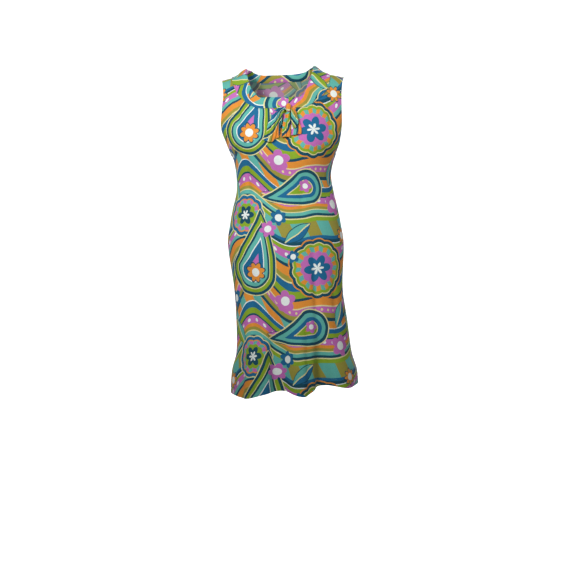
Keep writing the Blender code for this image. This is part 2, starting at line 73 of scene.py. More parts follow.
def mix(first: Array | float, second: Array | float, share: Array | float) -> Array | float:
    """Value a share of the way from first to second."""
    return first + (second - first) * share


def ease(value: Array) -> Array:
    """0 below 0, 1 above 1 and a smooth step between."""
    share = np.clip(value, 0.0, 1.0)
    return share * share * (3 - 2 * share)


def unit(vectors: Array) -> Array:
    """Vectors of length 1 along the last axis."""
    return vectors / np.maximum(np.linalg.norm(vectors, axis=-1, keepdims=True), TINY)


def trough(share: Array) -> Array:
    """Section of a soft crease: 1 in its middle, a low ridge on each side, 0 far off."""
    return (1 - CREASE_RIDGE * share * share) * np.exp(-share * share)


@dataclass(frozen=True)
class Table:
    """Smooth curves through rows of values, read by their first column."""

    names: str
    rows: tuple[tuple[float, ...], ...]

    def read(self, name: str, at: Array) -> Array:
        """One column's value, flat past the ends.

        Args:
            name: the column.
            at: where to read it, in the first column's terms.

        Returns:
            Values of the shape of at.
        """
        data = np.array(self.rows)
        keys, values = data[:, 0], data[:, self.names.split().index(name)]
        last = len(keys) - 1
        order = np.arange(last + 1)
        before, after = np.maximum(order - 1, 0), np.minimum(order + 1, last)
        slopes = (values[after] - values[before]) / (keys[after] - keys[before])
        at = np.clip(at, keys[0], keys[-1])
        low = np.clip(np.searchsorted(keys, at, side="right") - 1, 0, last - 1)
        span = keys[low + 1] - keys[low]
        t = (at - keys[low]) / span
        return (
            values[low] * (1 + 2 * t) * (1 - t) ** 2
            + slopes[low] * span * t * (1 - t) ** 2
            + values[low + 1] * t * t * (3 - 2 * t)
            + slopes[low + 1] * span * t * t * (t - 1)
        )

    def last(self, name: str) -> float:
        """One column's value in the last row."""
        return self.rows[-1][self.names.split().index(name)]


def squared(value: Array, power: Array) -> Array:
    """Share across a rounded section, squarer at its corners the higher the power is."""
    return np.sign(value) * np.abs(value) ** (2 / power)


def spline(before: Array, start: Array, end: Array, after: Array, share: Array) -> Array:
    """Point of the smooth curve from start to end that passes before and after them.

    Args:
        before: the point before the start.
        start: where the curve starts.
        end: where it ends.
        after: the point after the end.
        share: how far along the curve, from 0 to 1.

    Returns:
        Points on the curve.
    """
    return 0.5 * (
        2 * start
        + (end - before) * share
        + (2 * before - 5 * start + 4 * end - after) * share ** 2
        + (3 * start - before - 3 * end + after) * share ** 3
    )


def polyline_lengths(points: Array) -> Array:
    """Length along a line of points, up to each of them."""
    steps = np.linalg.norm(np.diff(points, axis=0), axis=-1)
    return np.concatenate([[0.0], np.cumsum(steps)])


def even_line(points: Array, count: int) -> Array:
    """Line of points that are spaced evenly along a line of other points.

    Args:
        points: points of the other line, with one or more values each.
        count: how many points to place.

    Returns:
        The points.
    """
    lengths = polyline_lengths(points)
    wanted = np.linspace(0, lengths[-1], count)
    return np.stack([np.interp(wanted, lengths, points[:, i]) for i in range(points.shape[1])], -1)


# ---------------------------------------------------------------------------------------------
# The form of the dress
# ---------------------------------------------------------------------------------------------


class Side(Enum):
    """A panel of the dress. The value is its outward direction along Y."""

    FRONT = -1.0
    BACK = 1.0


@dataclass(frozen=True)
class Fold:
    """A soft fold of the skirt that deepens from its top down to the hem."""

    across: float
    out: float
    width: float
    top: float


@dataclass(frozen=True)
class Mound:
    """A soft mound of the bust."""

    x: float
    z: float
    out: float = 0.012
    half_width: float = 0.052
    half_height: float = 0.080


@dataclass(frozen=True)
class DressForm:
    """The surface that the dress is cut to, and where a place on it lies."""

    gap: float = 0.0003
    underarm: tuple[float, ...] = (-0.165, -0.241, 0.157, -0.231)
    neck: tuple[float, float] = (-0.128, 0.098)
    hip_height: float = -0.55
    chest_power: float = 2.5
    chest_edge: float = 1.15
    chest_start: float = 0.3
    chest_spacing: float = 1.35
    shoulder_share: float = 5 / 36
    neckline_steps: int = 400
    angle_steps: int = 720
    section_steps: int = 601
    curve_steps: int = 15
    probe: float = 0.002
    sections: Table = Table("z left right front back power", (
        (-0.985, -0.167, 0.222, 0.150, 0.141, 2.10),
        (-0.930, -0.166, 0.225, 0.147, 0.138, 2.10),
        (-0.893, -0.162, 0.221, 0.143, 0.135, 2.10),
        (-0.845, -0.150, 0.206, 0.137, 0.131, 2.10),
        (-0.745, -0.150, 0.192, 0.128, 0.128, 2.10),
        (-0.645, -0.157, 0.178, 0.120, 0.128, 2.15),
        (-0.510, -0.176, 0.181, 0.116, 0.124, 2.20),
        (-0.450, -0.169, 0.172, 0.112, 0.114, 2.20),
        (-0.400, -0.160, 0.162, 0.109, 0.105, 2.20),
        (-0.350, -0.149, 0.150, 0.110, 0.098, 2.20),
        (-0.300, -0.150, 0.142, 0.118, 0.096, 2.20),
        (-0.262, -0.156, 0.148, 0.126, 0.099, 2.20),
        (-0.236, -0.165, 0.157, 0.128, 0.101, 2.20),
    ))
    hem: dict[Side, Table] = field(default_factory=lambda: {
        Side.FRONT: Table("across z", (
            (-1.00, -0.968), (-0.72, -0.979), (-0.45, -0.966), (-0.20, -0.954),
            (0.14, -0.970), (0.46, -0.939), (0.80, -0.948), (1.00, -0.938),
        )),
        Side.BACK: Table("across z", (
            (-1.00, -0.968), (-0.62, -0.974), (-0.25, -0.955), (0.12, -0.964),
            (0.45, -0.944), (0.78, -0.950), (1.00, -0.938),
        )),
    })
    folds: dict[Side, tuple[Fold, ...]] = field(default_factory=lambda: {
        Side.FRONT: (
            Fold(-0.68, 0.013, 0.22, -0.62), Fold(-0.24, -0.017, 0.19, -0.58),
            Fold(0.14, 0.014, 0.17, -0.64), Fold(0.47, -0.017, 0.14, -0.70),
            Fold(0.80, 0.012, 0.12, -0.74),
        ),
        Side.BACK: (
            Fold(-0.60, 0.014, 0.20, -0.60), Fold(-0.26, -0.016, 0.17, -0.64),
            Fold(0.10, 0.015, 0.18, -0.58), Fold(0.46, -0.016, 0.15, -0.68),
            Fold(0.76, 0.011, 0.13, -0.72),
        ),
    })
    ridge: Table = Table("x z", (
        (-0.194, -0.009), (-0.128, 0.006), (-0.015, 0.024), (0.098, 0.016), (0.182, 0.001),
    ))
    armhole: Table = Table("climb left right front back", (
        (0.00, -0.165, 0.157, 0.000, 0.000),
        (0.02, -0.168, 0.160, 0.017, 0.015),
        (0.08, -0.177, 0.167, 0.036, 0.031),
        (0.22, -0.194, 0.173, 0.056, 0.047),
        (0.38, -0.192, 0.172, 0.062, 0.052),
        (0.55, -0.188, 0.172, 0.057, 0.048),
        (0.75, -0.191, 0.176, 0.038, 0.032),
        (1.00, -0.194, 0.182, 0.000, 0.000),
    ))
    neckline: dict[Side, Table] = field(default_factory=lambda: {
        Side.FRONT: Table("x drop", (
            (-0.128, 0.000), (-0.124, 0.024), (-0.117, 0.047), (-0.107, 0.071),
            (-0.091, 0.092), (-0.068, 0.106), (-0.010, 0.113), (0.042, 0.110),
            (0.062, 0.098), (0.075, 0.072), (0.083, 0.047), (0.091, 0.023), (0.098, 0.000),
        )),
        Side.BACK: Table("x drop", (
            (-0.128, 0.000), (-0.108, 0.015), (-0.070, 0.027), (-0.015, 0.031),
            (0.040, 0.027), (0.078, 0.015), (0.098, 0.000),
        )),
    })
    bust: tuple[Mound, ...] = (Mound(-0.083, -0.228), Mound(0.073, -0.224))
    bust_spread: float = 2.0
    fold_fade: int = 6

    def underarm_height(self, x: Array) -> Array:
        """Height of the line between the two underarm points."""
        left, low, right, high = self.underarm
        return mix(low, high, (x - left) / (right - left))

    def bust_mound(self, side: Side, x: Array, z: Array) -> Array:
        """How far the bust pushes a panel out at a place.

        Args:
            side: the panel.
            x: places across.
            z: heights.

        Returns:
            Distance out at each place.
        """
        if side is Side.BACK:
            return 0.0 * x
        return sum(
            m.out * np.exp(-(((x - m.x) / m.half_width) ** 2) - ((z - m.z) / m.half_height) ** 2)
            for m in self.bust
        )

    def fold_out(self, side: Side, across: Array, z: Array) -> Array:
        """How far the folds of the skirt push the cloth out at a place.

        Args:
            side: the panel.
            across: from -1 at the left side seam to 1 at the right one.
            z: heights.

        Returns:
            Distance out at each place.
        """
        total = 0.0 * z
        for fold in self.folds[side]:
            hem = self.hem[side].read("z", np.array(fold.across))
            growth = ease((fold.top - z) / (fold.top - hem))
            total = total + fold.out * growth * np.exp(-(((across - fold.across) / fold.width) ** 2))
        return total * (1 - np.abs(across) ** self.fold_fade)

    def skirt(self, side: Side, angle: Array, share: Array) -> Array:
        """Points of a panel below the underarm.

        Args:
            side: the panel.
            angle: from pi at the left side seam to 0 at the right one.
            share: from 0 at the hem to 1 at the underarm.

        Returns:
            Points, with x, y and z on a last axis.
        """
        spread = np.cos(angle)
        _, low, _, high = self.underarm
        top = mix(low, high, (spread + 1) / 2)
        z = mix(self.hem[side].read("z", spread), top, share)
        left, right, depth, power = (
            self.sections.read(name, z) for name in ("left", "right", side.name.lower(), "power")
        )
        across, bulge = squared(spread, power), squared(np.sin(angle), power)
        half = (right - left) / 2
        push = self.fold_out(side, across, z)
        way = unit(np.stack([across * depth, bulge * half], -1))
        x = (left + right) / 2 + half * across
        y = depth * bulge + self.bust_mound(side, x, z) * ease(bulge * self.bust_spread)
        out = side.value * (self.gap / 2 + y + push * way[..., 1])
        return np.stack([x + push * way[..., 0], out, z], -1)

    def chest(self, side: Side, across: Array, climb: Array) -> Array:
        """Points of a panel above the underarm.

        Args:
            side: the panel.
            across: from -1 at the left armhole to 1 at the right one.
            climb: from 0 at the underarm to 1 at the shoulder line.

        Returns:
            Points, with x, y and z on a last axis.
        """
        name = side.name.lower()
        left, right, edge = (self.armhole.read(key, climb) for key in ("left", "right", name))
        x = mix(left, right, (across + 1) / 2)
        rise = climb * math.pi / 2
        z = mix(self.underarm_height(x), self.ridge.read("z", x), np.sin(rise))
        middle = self.sections.last(name) * np.cos(rise)
        shoulder = ease(climb / self.chest_start)
        low_power = self.sections.last("power")
        power = mix(low_power, self.chest_power, shoulder)
        root = mix(low_power, self.chest_edge, shoulder)
        arch = (1 - np.minimum(1.0, np.abs(across)) ** power) ** (1 / root)
        y = edge + (middle - edge) * arch
        y = y + self.bust_mound(side, x, z) * ease(arch * self.bust_spread)
        return np.stack([x, side.value * (self.gap / 2 + y), z], -1)

    def chest_place(self, x: Array, z: Array) -> Array:
        """Where places above the underarm lie on the form.

        Args:
            x: places across.
            z: heights.

        Returns:
            Their across and climb, on a last axis.
        """
        low = self.underarm_height(x)
        climb = np.arcsin(np.clip((z - low) / (self.ridge.read("z", x) - low), 0, 1)) * 2 / math.pi
        left, right = (self.armhole.read(name, climb) for name in ("left", "right"))
        return np.stack([(2 * x - left - right) / (right - left), climb], -1)

    def chest_frame(self, side: Side, place: Array) -> tuple[Array, Array, Array, Array]:
        """The form at places above the underarm.

        Args:
            side: the panel.
            place: across and climb, on a last axis.

        Returns:
            Points, how they move with across and with climb, and outward normals.
        """
        step = self.probe
        across, climb = place[..., 0], place[..., 1]
        low, high = np.clip(climb - step, 0, 1), np.clip(climb + step, 0, 1)
        point = self.chest(side, across, climb)
        along = self.chest(side, across + step, climb) - self.chest(side, across - step, climb)
        up = self.chest(side, across, high) - self.chest(side, across, low)
        normal = unit(np.cross(along, up)) * -side.value
        return point, along / (2 * step), up / (high - low)[..., None], normal

    def column_angles(self, columns: int) -> Array:
        """Angles of a panel's columns, spaced evenly round the front at the hip.

        Args:
            columns: how many spaces lie between the first column and the last.

        Returns:
            The angles, from pi at the left side seam to 0 at the right one.
        """
        angle = np.linspace(math.pi, 0, self.section_steps)
        left, right, front, power = (
            self.sections.read(name, np.array(self.hip_height))
            for name in ("left", "right", "front", "power")
        )
        x = (right - left) / 2 * squared(np.cos(angle), power)
        y = front * squared(np.sin(angle), power)
        lengths = polyline_lengths(np.stack([x, y], -1))
        return np.interp(np.linspace(0, lengths[-1], columns + 1), lengths, angle)

    def neckline_places(self, side: Side) -> Array:
        """Places along a panel's neckline, spaced evenly, from left to right.

        Args:
            side: the panel.

        Returns:
            Their across and climb, on a last axis.
        """
        rows = np.array(self.neckline[side].rows)
        before = np.concatenate([rows[:1], rows[:-2]])
        start, end = rows[:-1], rows[1:]
        after = np.concatenate([rows[2:], rows[-1:]])
        share = np.linspace(0, 1, self.curve_steps, endpoint=False)[None, :, None]
        curve = spline(*(points[:, None] for points in (before, start, end, after)), share)
        curve = np.concatenate([curve.reshape(-1, 2), rows[-1:]])
        z = self.ridge.read("z", curve[:, 0]) - np.maximum(curve[:, 1], 0)
        place = self.chest_place(curve[:, 0], z)
        line = even_line(self.chest(side, place[:, 0], place[:, 1]), self.neckline_steps + 1)
        places = self.chest_place(line[:, 0], line[:, 2])
        for end_index, x in ((0, self.neck[0]), (-1, self.neck[1])):
            places[end_index, 0] = self.chest_place(np.array(x), self.ridge.read("z", x))[0]
            places[end_index, 1] = 1.0
        return places

    def panel(self, side: Side, skirt: Array, chest: Array, columns: Array) -> Array:
        """Grid of points on a panel's outer face, from the hem up and from left to right.

        Args:
            side: the panel.
            skirt: rows below the underarm, from 0 at the hem to 1.
            chest: rows above the underarm, from more than 0 to 1 at the top.
            columns: columns, from 0 at the left side seam to 1 at the right one.

        Returns:
            Array of rows, columns and coordinates.
        """
        fine = self.column_angles(self.angle_steps)
        angles = np.interp(columns, np.linspace(0, 1, len(fine)), fine)
        low = self.skirt(side, angles[None, :], skirt[:, None])
        starts = squared(np.cos(angles), self.sections.last("power"))
        line = self.neckline_places(side)
        share = self.shoulder_share
        along = np.clip((columns - share) / (1 - 2 * share), 0, 1)
        tops = np.interp(along, np.linspace(0, 1, len(line)), line[:, 0])
        climbs = np.interp(along, np.linspace(0, 1, len(line)), line[:, 1])
        left, right = columns < share, columns > 1 - share
        tops[left] = mix(-1.0, line[0, 0], columns[left] / share)
        tops[right] = mix(1.0, line[-1, 0], (1 - columns[right]) / share)
        climbs[left | right] = 1.0
        rows = chest[:, None] ** self.chest_spacing
        across = mix(starts[None, :], tops[None, :], ease(rows))
        return np.concatenate([low, self.chest(side, across, climbs[None, :] * rows)])


# ---------------------------------------------------------------------------------------------
# Sheets of cloth
# ---------------------------------------------------------------------------------------------


@dataclass(frozen=True)
class Crease:
    """A soft trough along a line of places, or a ridge where its depth is below nothing.

    The places are x and z on a panel, from the top down. An open crease runs out of its last place
    at full depth. The far width is that of its slope on the side of +x.
    """

    path: tuple[tuple[float, float], ...]
    depth: float
    width: float
    open_end: bool = False
    far_width: float = 0.0
    spread: float = 2.6
    core: float = 0.6
    end_power: float = 0.8
    steps: int = 10

    def press(self, x: Array, z: Array) -> Array:
        """How far the crease pushes the cloth in.

        Args:
            x: places across the panel.
            z: their heights.

        Returns:
            Depth at each place.
        """
        line = even_line(np.array(self.path), self.steps)
        nearest, at = np.full(x.shape, np.inf), np.zeros(x.shape)
        width = np.full(x.shape, self.width)
        for number, (first, second) in enumerate(zip(line, line[1:])):
            way = second - first
            share = ((x - first[0]) * way[0] + (z - first[1]) * way[1]) / (way @ way)
            share = np.clip(share, 0, 1)
            off = np.hypot(x - first[0] - share * way[0], z - first[1] - share * way[1])
            closer = off < nearest
            beyond = way[0] * (z - first[1]) > way[1] * (x - first[0])
            wide = np.where(beyond, self.far_width or self.width, self.width)
            width = np.where(closer, wide, width)
            nearest = np.where(closer, off, nearest)
            at = np.where(closer, (number + share) / (len(line) - 1), at)
        fade = np.sin(at * math.pi * (0.5 if self.open_end else 1.0)) ** self.end_power
        off = nearest / width
        return self.depth * mix(trough(off / self.spread), trough(off), self.core) * fade


def grid_normals(grid: Array, sign: float) -> Array:
    """Unit normals of a grid of points, on the side that the sign picks."""
    return unit(np.cross(np.gradient(grid, axis=1), np.gradient(grid, axis=0))) * sign


def print_map(grid: Array, base_row: int) -> Array:
    """Places of a grid's points on the flat cloth, in metres.

    Args:
        grid: rows of points.
        base_row: the row whose points keep their own height.

    Returns:
        Array of rows, columns and the two flat coordinates.
    """
    along = np.linalg.norm(np.diff(grid, axis=1), axis=-1)
    u = np.concatenate([np.zeros((len(grid), 1)), np.cumsum(along, axis=1)], axis=1)
    u -= u[:, [grid.shape[1] // 2]]
    up = np.linalg.norm(np.diff(grid, axis=0), axis=-1)
    v = np.concatenate([np.zeros((1, grid.shape[1])), np.cumsum(up, axis=0)])
    v += grid[base_row, :, 2] - v[base_row]
    return np.stack([u, v], -1)


def resample(values: Array, rows: Array, columns: Array) -> Array:
    """Grid of values read between its own rows and columns.

    Args:
        values: grid with one more axis.
        rows: where to read along the rows, as numbers of rows.
        columns: the same along the columns.

    Returns:
        Array of rows, columns and the last axis.
    """
    r = np.minimum(rows.astype(int), len(values) - 2)
    c = np.minimum(columns.astype(int), values.shape[1] - 2)
    values = mix(values[r], values[r + 1], (rows - r)[:, None, None])
    return mix(values[:, c], values[:, c + 1], (columns - c)[None, :, None])


def flattened(grid: Array, flat: Array, size: tuple[int, int] = (60, 42),
              rounds: int = 900, share: float = 0.125) -> Array:
    """Flat places moved until the cloth between them has its real lengths.

    Args:
        grid: points of the cloth in space.
        flat: a first guess of their flat places.
        size: rows and columns that the work is done on.
        rounds: how often the lengths are evened out.
        share: how much of a wrong length each round takes off at either end.

    Returns:
        The flat places.
    """
    rows = np.linspace(0, len(grid) - 1, size[0])
    columns = np.linspace(0, grid.shape[1] - 1, size[1])
    space, places = resample(grid, rows, columns), resample(flat, rows, columns)
    whole = slice(None)
    pairs = [
        ((slice(None, -1), whole), (slice(1, None), whole)),
        ((whole, slice(None, -1)), (whole, slice(1, None))),
        ((slice(None, -1), slice(None, -1)), (slice(1, None), slice(1, None))),
        ((slice(None, -1), slice(1, None)), (slice(1, None), slice(None, -1))),
    ]
    lengths = [np.linalg.norm(space[a] - space[b], axis=-1) for a, b in pairs]
    for _ in range(rounds):
        move = np.zeros_like(places)
        for (a, b), length in zip(pairs, lengths):
            gap = places[b] - places[a]
            now = np.linalg.norm(gap, axis=-1)
            pull = gap * ((now - length) / np.maximum(now, TINY))[..., None] * share
            move[a] += pull
            move[b] -= pull
        places = places + move
    guess = resample(flat, rows, columns)
    change = places - guess
    back_rows = np.interp(np.arange(len(grid)), rows, np.arange(size[0]))
    back_columns = np.interp(np.arange(grid.shape[1]), columns, np.arange(size[1]))
    return flat + resample(change, back_rows, back_columns)


def sheet_object(name: str, outer: Array, inner: Array, flat: Array,
                 finishes: Sequence[bpy.types.Material]) -> bpy.types.Object:
    """Thin closed sheet between two grids of points of the same size, with a rim round it.

    Args:
        name: the piece's name.
        outer: grid of points of the right side.
        inner: grid of points of the wrong side.
        flat: places of the points on the flat cloth, in metres.
        finishes: materials of the right and the wrong side.

    Returns:
        The piece.
    """
    rows, columns = outer.shape[:2]
    numbers = np.arange(rows * columns).reshape(rows, columns)
    quads = np.stack([numbers[:-1, :-1], numbers[:-1, 1:], numbers[1:, 1:], numbers[1:, :-1]], -1)
    quads = quads.reshape(-1, 4)
    border = np.concatenate([
        numbers[0, :-1], numbers[:-1, -1], numbers[-1, :0:-1], numbers[:0:-1, 0],
    ])
    beyond = np.roll(border, -1)
    count = rows * columns
    rim = np.stack([beyond, border, border + count, beyond + count], -1)
    faces = np.concatenate([quads, quads[:, ::-1] + count, rim])
    mesh = bpy.data.meshes.new(name)
    mesh.from_pydata(
        np.concatenate([outer.reshape(-1, 3), inner.reshape(-1, 3)]).tolist(), [], faces.tolist()
    )
    places = np.concatenate([flat.reshape(-1, 2)] * 2)
    mesh.uv_layers.new(name="cloth").data.foreach_set("uv", places[faces.ravel()].ravel())
    for finish in finishes:
        mesh.materials.append(finish)
    slots = np.zeros(len(faces), dtype=np.int32)
    slots[len(quads):2 * len(quads)] = len(finishes) - 1
    mesh.polygons.foreach_set("material_index", slots)
    return finished(name, mesh)


def finished(name: str, mesh: bpy.types.Mesh) -> bpy.types.Object:
    """Turns a mesh's faces out, shades them smooth and puts the mesh in the scene.

    Args:
        name: the piece's name.
        mesh: its closed mesh.

    Returns:
        The piece.
    """
    model = bmesh.new()
    model.from_mesh(mesh)
    bmesh.ops.recalc_face_normals(model, faces=model.faces)
    model.to_mesh(mesh)
    model.free()
    mesh.shade_smooth()
    mesh.set_sharp_from_angle(angle=SHARP_EDGE)
    piece = bpy.data.objects.new(name, mesh)
    bpy.context.scene.collection.objects.link(piece)
    return piece


def area_of(piece: bpy.types.Object) -> float:
    """Area of one side of a thin sheet."""
    return sum(face.area for face in piece.data.polygons) / 2


def placed(piece: bpy.types.Object, nodes: Sequence[str]) -> bpy.types.Object:
    """Logs a finished piece and sets it on the frame.

    Args:
        piece: the piece.
        nodes: the frame's nodes that it stands for.

    Returns:
        The piece.
    """
    LOG.info("%s: %d faces, one side %.4f m2", piece.name, len(piece.data.polygons), area_of(piece))
    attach(piece, "root")
    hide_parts(*nodes)
    return piece


# ---------------------------------------------------------------------------------------------
# Pieces
# ---------------------------------------------------------------------------------------------


@dataclass
class Panel:
    """The front or the back, cut in one from the shoulder to the hem."""

    side: Side
    form: DressForm
    creases: tuple[Crease, ...]
    cloth: float = 0.0010
    hem_depth: float = 0.022
    hem_extra: float = 0.0006
    hem_share: float = 0.034
    seam_dip: float = 0.0011
    seam_width: float = 0.0016
    stitch_dip: float = 0.0006
    stitch_width: float = 0.0012
    edge: float = 0.007
    edge_width: float = 0.0014
    seam_fade: int = 9
    armhole_start: int = 3
    rows: tuple[int, int, int] = (17, 130, 66)
    top_rows: tuple[float, ...] = (0.992, 0.996, 1.0)
    seam_columns: tuple[float, ...] = (
        0, 0.0015, 0.0032, 0.0052, 0.0078, 0.0105, 0.0135, 0.017, 0.021,
    )
    shoulder_start: float = 0.026
    columns: tuple[int, int] = (19, 150)
    flat: tuple[float, float] = (0.56, 1.07)

    @property
    def name(self) -> str:
        """The panel's name, as its pieces and the frame's nodes begin."""
        return self.side.name.lower()

    def positions(self) -> tuple[Array, Array, Array]:
        """Where the panel's rows and columns lie, closer together at the edges.

        Returns:
            Rows below the underarm, rows above it, and columns, as shares of the way.
        """
        turned, below, above = self.rows
        skirt = np.concatenate([
            np.linspace(0, self.hem_share, turned), np.linspace(self.hem_share, 1, below)[1:],
        ])
        chest = np.concatenate([np.linspace(0, 1, above)[1:-1], self.top_rows])
        share = self.form.shoulder_share
        side = np.concatenate([
            self.seam_columns, np.linspace(self.shoulder_start, share, self.columns[0]),
        ])
        middle = np.linspace(share, 1 - share, self.columns[1])[1:-1]
        return skirt, chest, np.concatenate([side, middle, 1 - side[::-1]])

    def build(self, finishes: Sequence[bpy.types.Material]) -> bpy.types.Object:
        """The panel with its creases, seams and turned hem.

        Args:
            finishes: materials of the right and the wrong side.

        Returns:
            The piece.
        """
        skirt, chest, columns = self.positions()
        grid = self.form.panel(self.side, skirt, chest, columns)
        normals = grid_normals(grid, -self.side.value)
        base = int(np.argmin(np.abs(grid[:len(skirt), len(columns) // 2, 2] - self.form.hip_height)))
        flat = print_map(grid, base)
        across = np.abs(2 * columns - 1)[None, :]
        flat_print = flattened(grid, flat)
        out = -self.pressed(grid) * (1 - across ** self.seam_fade)
        out = out - self.dips(flat, columns, len(skirt))
        self.seam_normals(normals, columns, len(skirt))
        self.neck_normals(normals, columns)
        outer = grid + normals * out[..., None]
        thick = self.cloth + self.hem_extra * (self.from_hem(flat) < self.hem_depth)
        inner = outer - normals * thick[..., None]
        self.outer, self.normals = outer, normals
        self.flat_places, self.skirt_rows = flat, len(skirt)
        piece = sheet_object(f"{self.name}_panel", outer, inner, flat_print, finishes)
        hoops = [f"{self.name}_panel_{part}" for part in ("hem", "hips", "waist", "chest")]
        placed(piece, hoops)
        return piece

    def pressed(self, grid: Array) -> Array:
        """How far the creases push the cloth in at the points of a grid."""
        return sum(crease.press(grid[..., 0], grid[..., 2]) for crease in self.creases)

    def across_line(self, height: float) -> tuple[Array, Array]:
        """The line across the panel at a distance up from its hem.

        Args:
            height: the distance.

        Returns:
            Points and normals.
        """
        up = self.from_hem(self.flat_places)
        row = int(np.argmin(np.abs(up.mean(axis=1) - height)))
        return self.outer[row], self.normals[row]

    def armhole_line(self, end: int) -> tuple[Array, Array]:
        """Points and normals just inside an armhole, from the underarm up.

        Args:
            end: 0 for the first column and -1 for the last one.

        Returns:
            Points and normals.
        """
        off = np.abs(self.flat_places[..., 0] - self.flat_places[:, [end], 0])
        points, normals = [], []
        for row in range(self.skirt_rows + self.armhole_start, len(off)):
            column = int(np.argmin(np.abs(off[row] - self.edge)))
            points.append(self.outer[row, column])
            normals.append(self.normals[row, column])
        return np.array(points), np.array(normals)

    def from_hem(self, flat: Array) -> Array:
        """Distance up the cloth from the hem."""
        return flat[..., 1] - flat[:1, :, 1]

    def dips(self, flat: Array, columns: Array, skirt_rows: int) -> Array:
        """How far the cloth dips in at its seams and under its lines of stitching.

        Args:
            flat: places of the points on the flat cloth.
            columns: the columns' shares across the panel.
            skirt_rows: number of rows up to the underarm.

        Returns:
            Depth at each point of the grid.
        """
        edge = np.minimum(flat[..., 0] - flat[:, :1, 0], flat[:, -1:, 0] - flat[..., 0])
        below = (np.arange(len(flat)) < skirt_rows)[:, None]
        share = self.form.shoulder_share
        shoulder = ((columns < share) | (columns > 1 - share))[None, :]
        down = flat[-1:, :, 1] - flat[..., 1]
        seam, turned, stitched, top = (
            depth * np.exp(-((off / width) ** 2)) for depth, off, width in (
                (self.seam_dip, edge, self.seam_width),
                (self.stitch_dip, edge - self.edge, self.edge_width),
                (self.stitch_dip, self.from_hem(flat) - self.hem_depth, self.stitch_width),
                (self.seam_dip, down, self.seam_width),
            )
        )
        low = np.where(below, seam, 0.0) + np.where(below, 0.0, turned)
        return low + stitched + np.where(shoulder, top, 0.0)

    def seam_normals(self, normals: Array, columns: Array, skirt_rows: int) -> None:
        """Turns the normals at the side and shoulder seams square to the other panel.

        Args:
            normals: the grid's normals, which are changed.
            columns: the columns' shares across the panel.
            skirt_rows: number of rows up to the underarm.
        """
        share = self.form.shoulder_share
        top = (columns <= share) | (columns >= 1 - share)
        normals[:skirt_rows, [0, -1], 1] = 0.0
        normals[-1, top, 1] = 0.0
        normals[:] = unit(normals)

    def neck_normals(self, normals: Array, columns: Array) -> None:
        """Turns the normals at the neckline to those of the form.

        Args:
            normals: the grid's normals, which are changed.
            columns: the columns' shares across the panel.
        """
        share = self.form.shoulder_share
        line = self.form.neckline_places(self.side)
        inside = (columns > share) & (columns < 1 - share)
        along = (columns[inside] - share) / (1 - 2 * share)
        places = np.stack([
            np.interp(along, np.linspace(0, 1, len(line)), line[:, i]) for i in (0, 1)
        ], -1)
        normals[-1, inside] = self.form.chest_frame(self.side, places)[3]


@dataclass(frozen=True)
class Pleat:
    """A soft pleat across the collar, at a turn round the neck."""

    turn: float
    depth: float
    width: float
    slant: float = 0.0


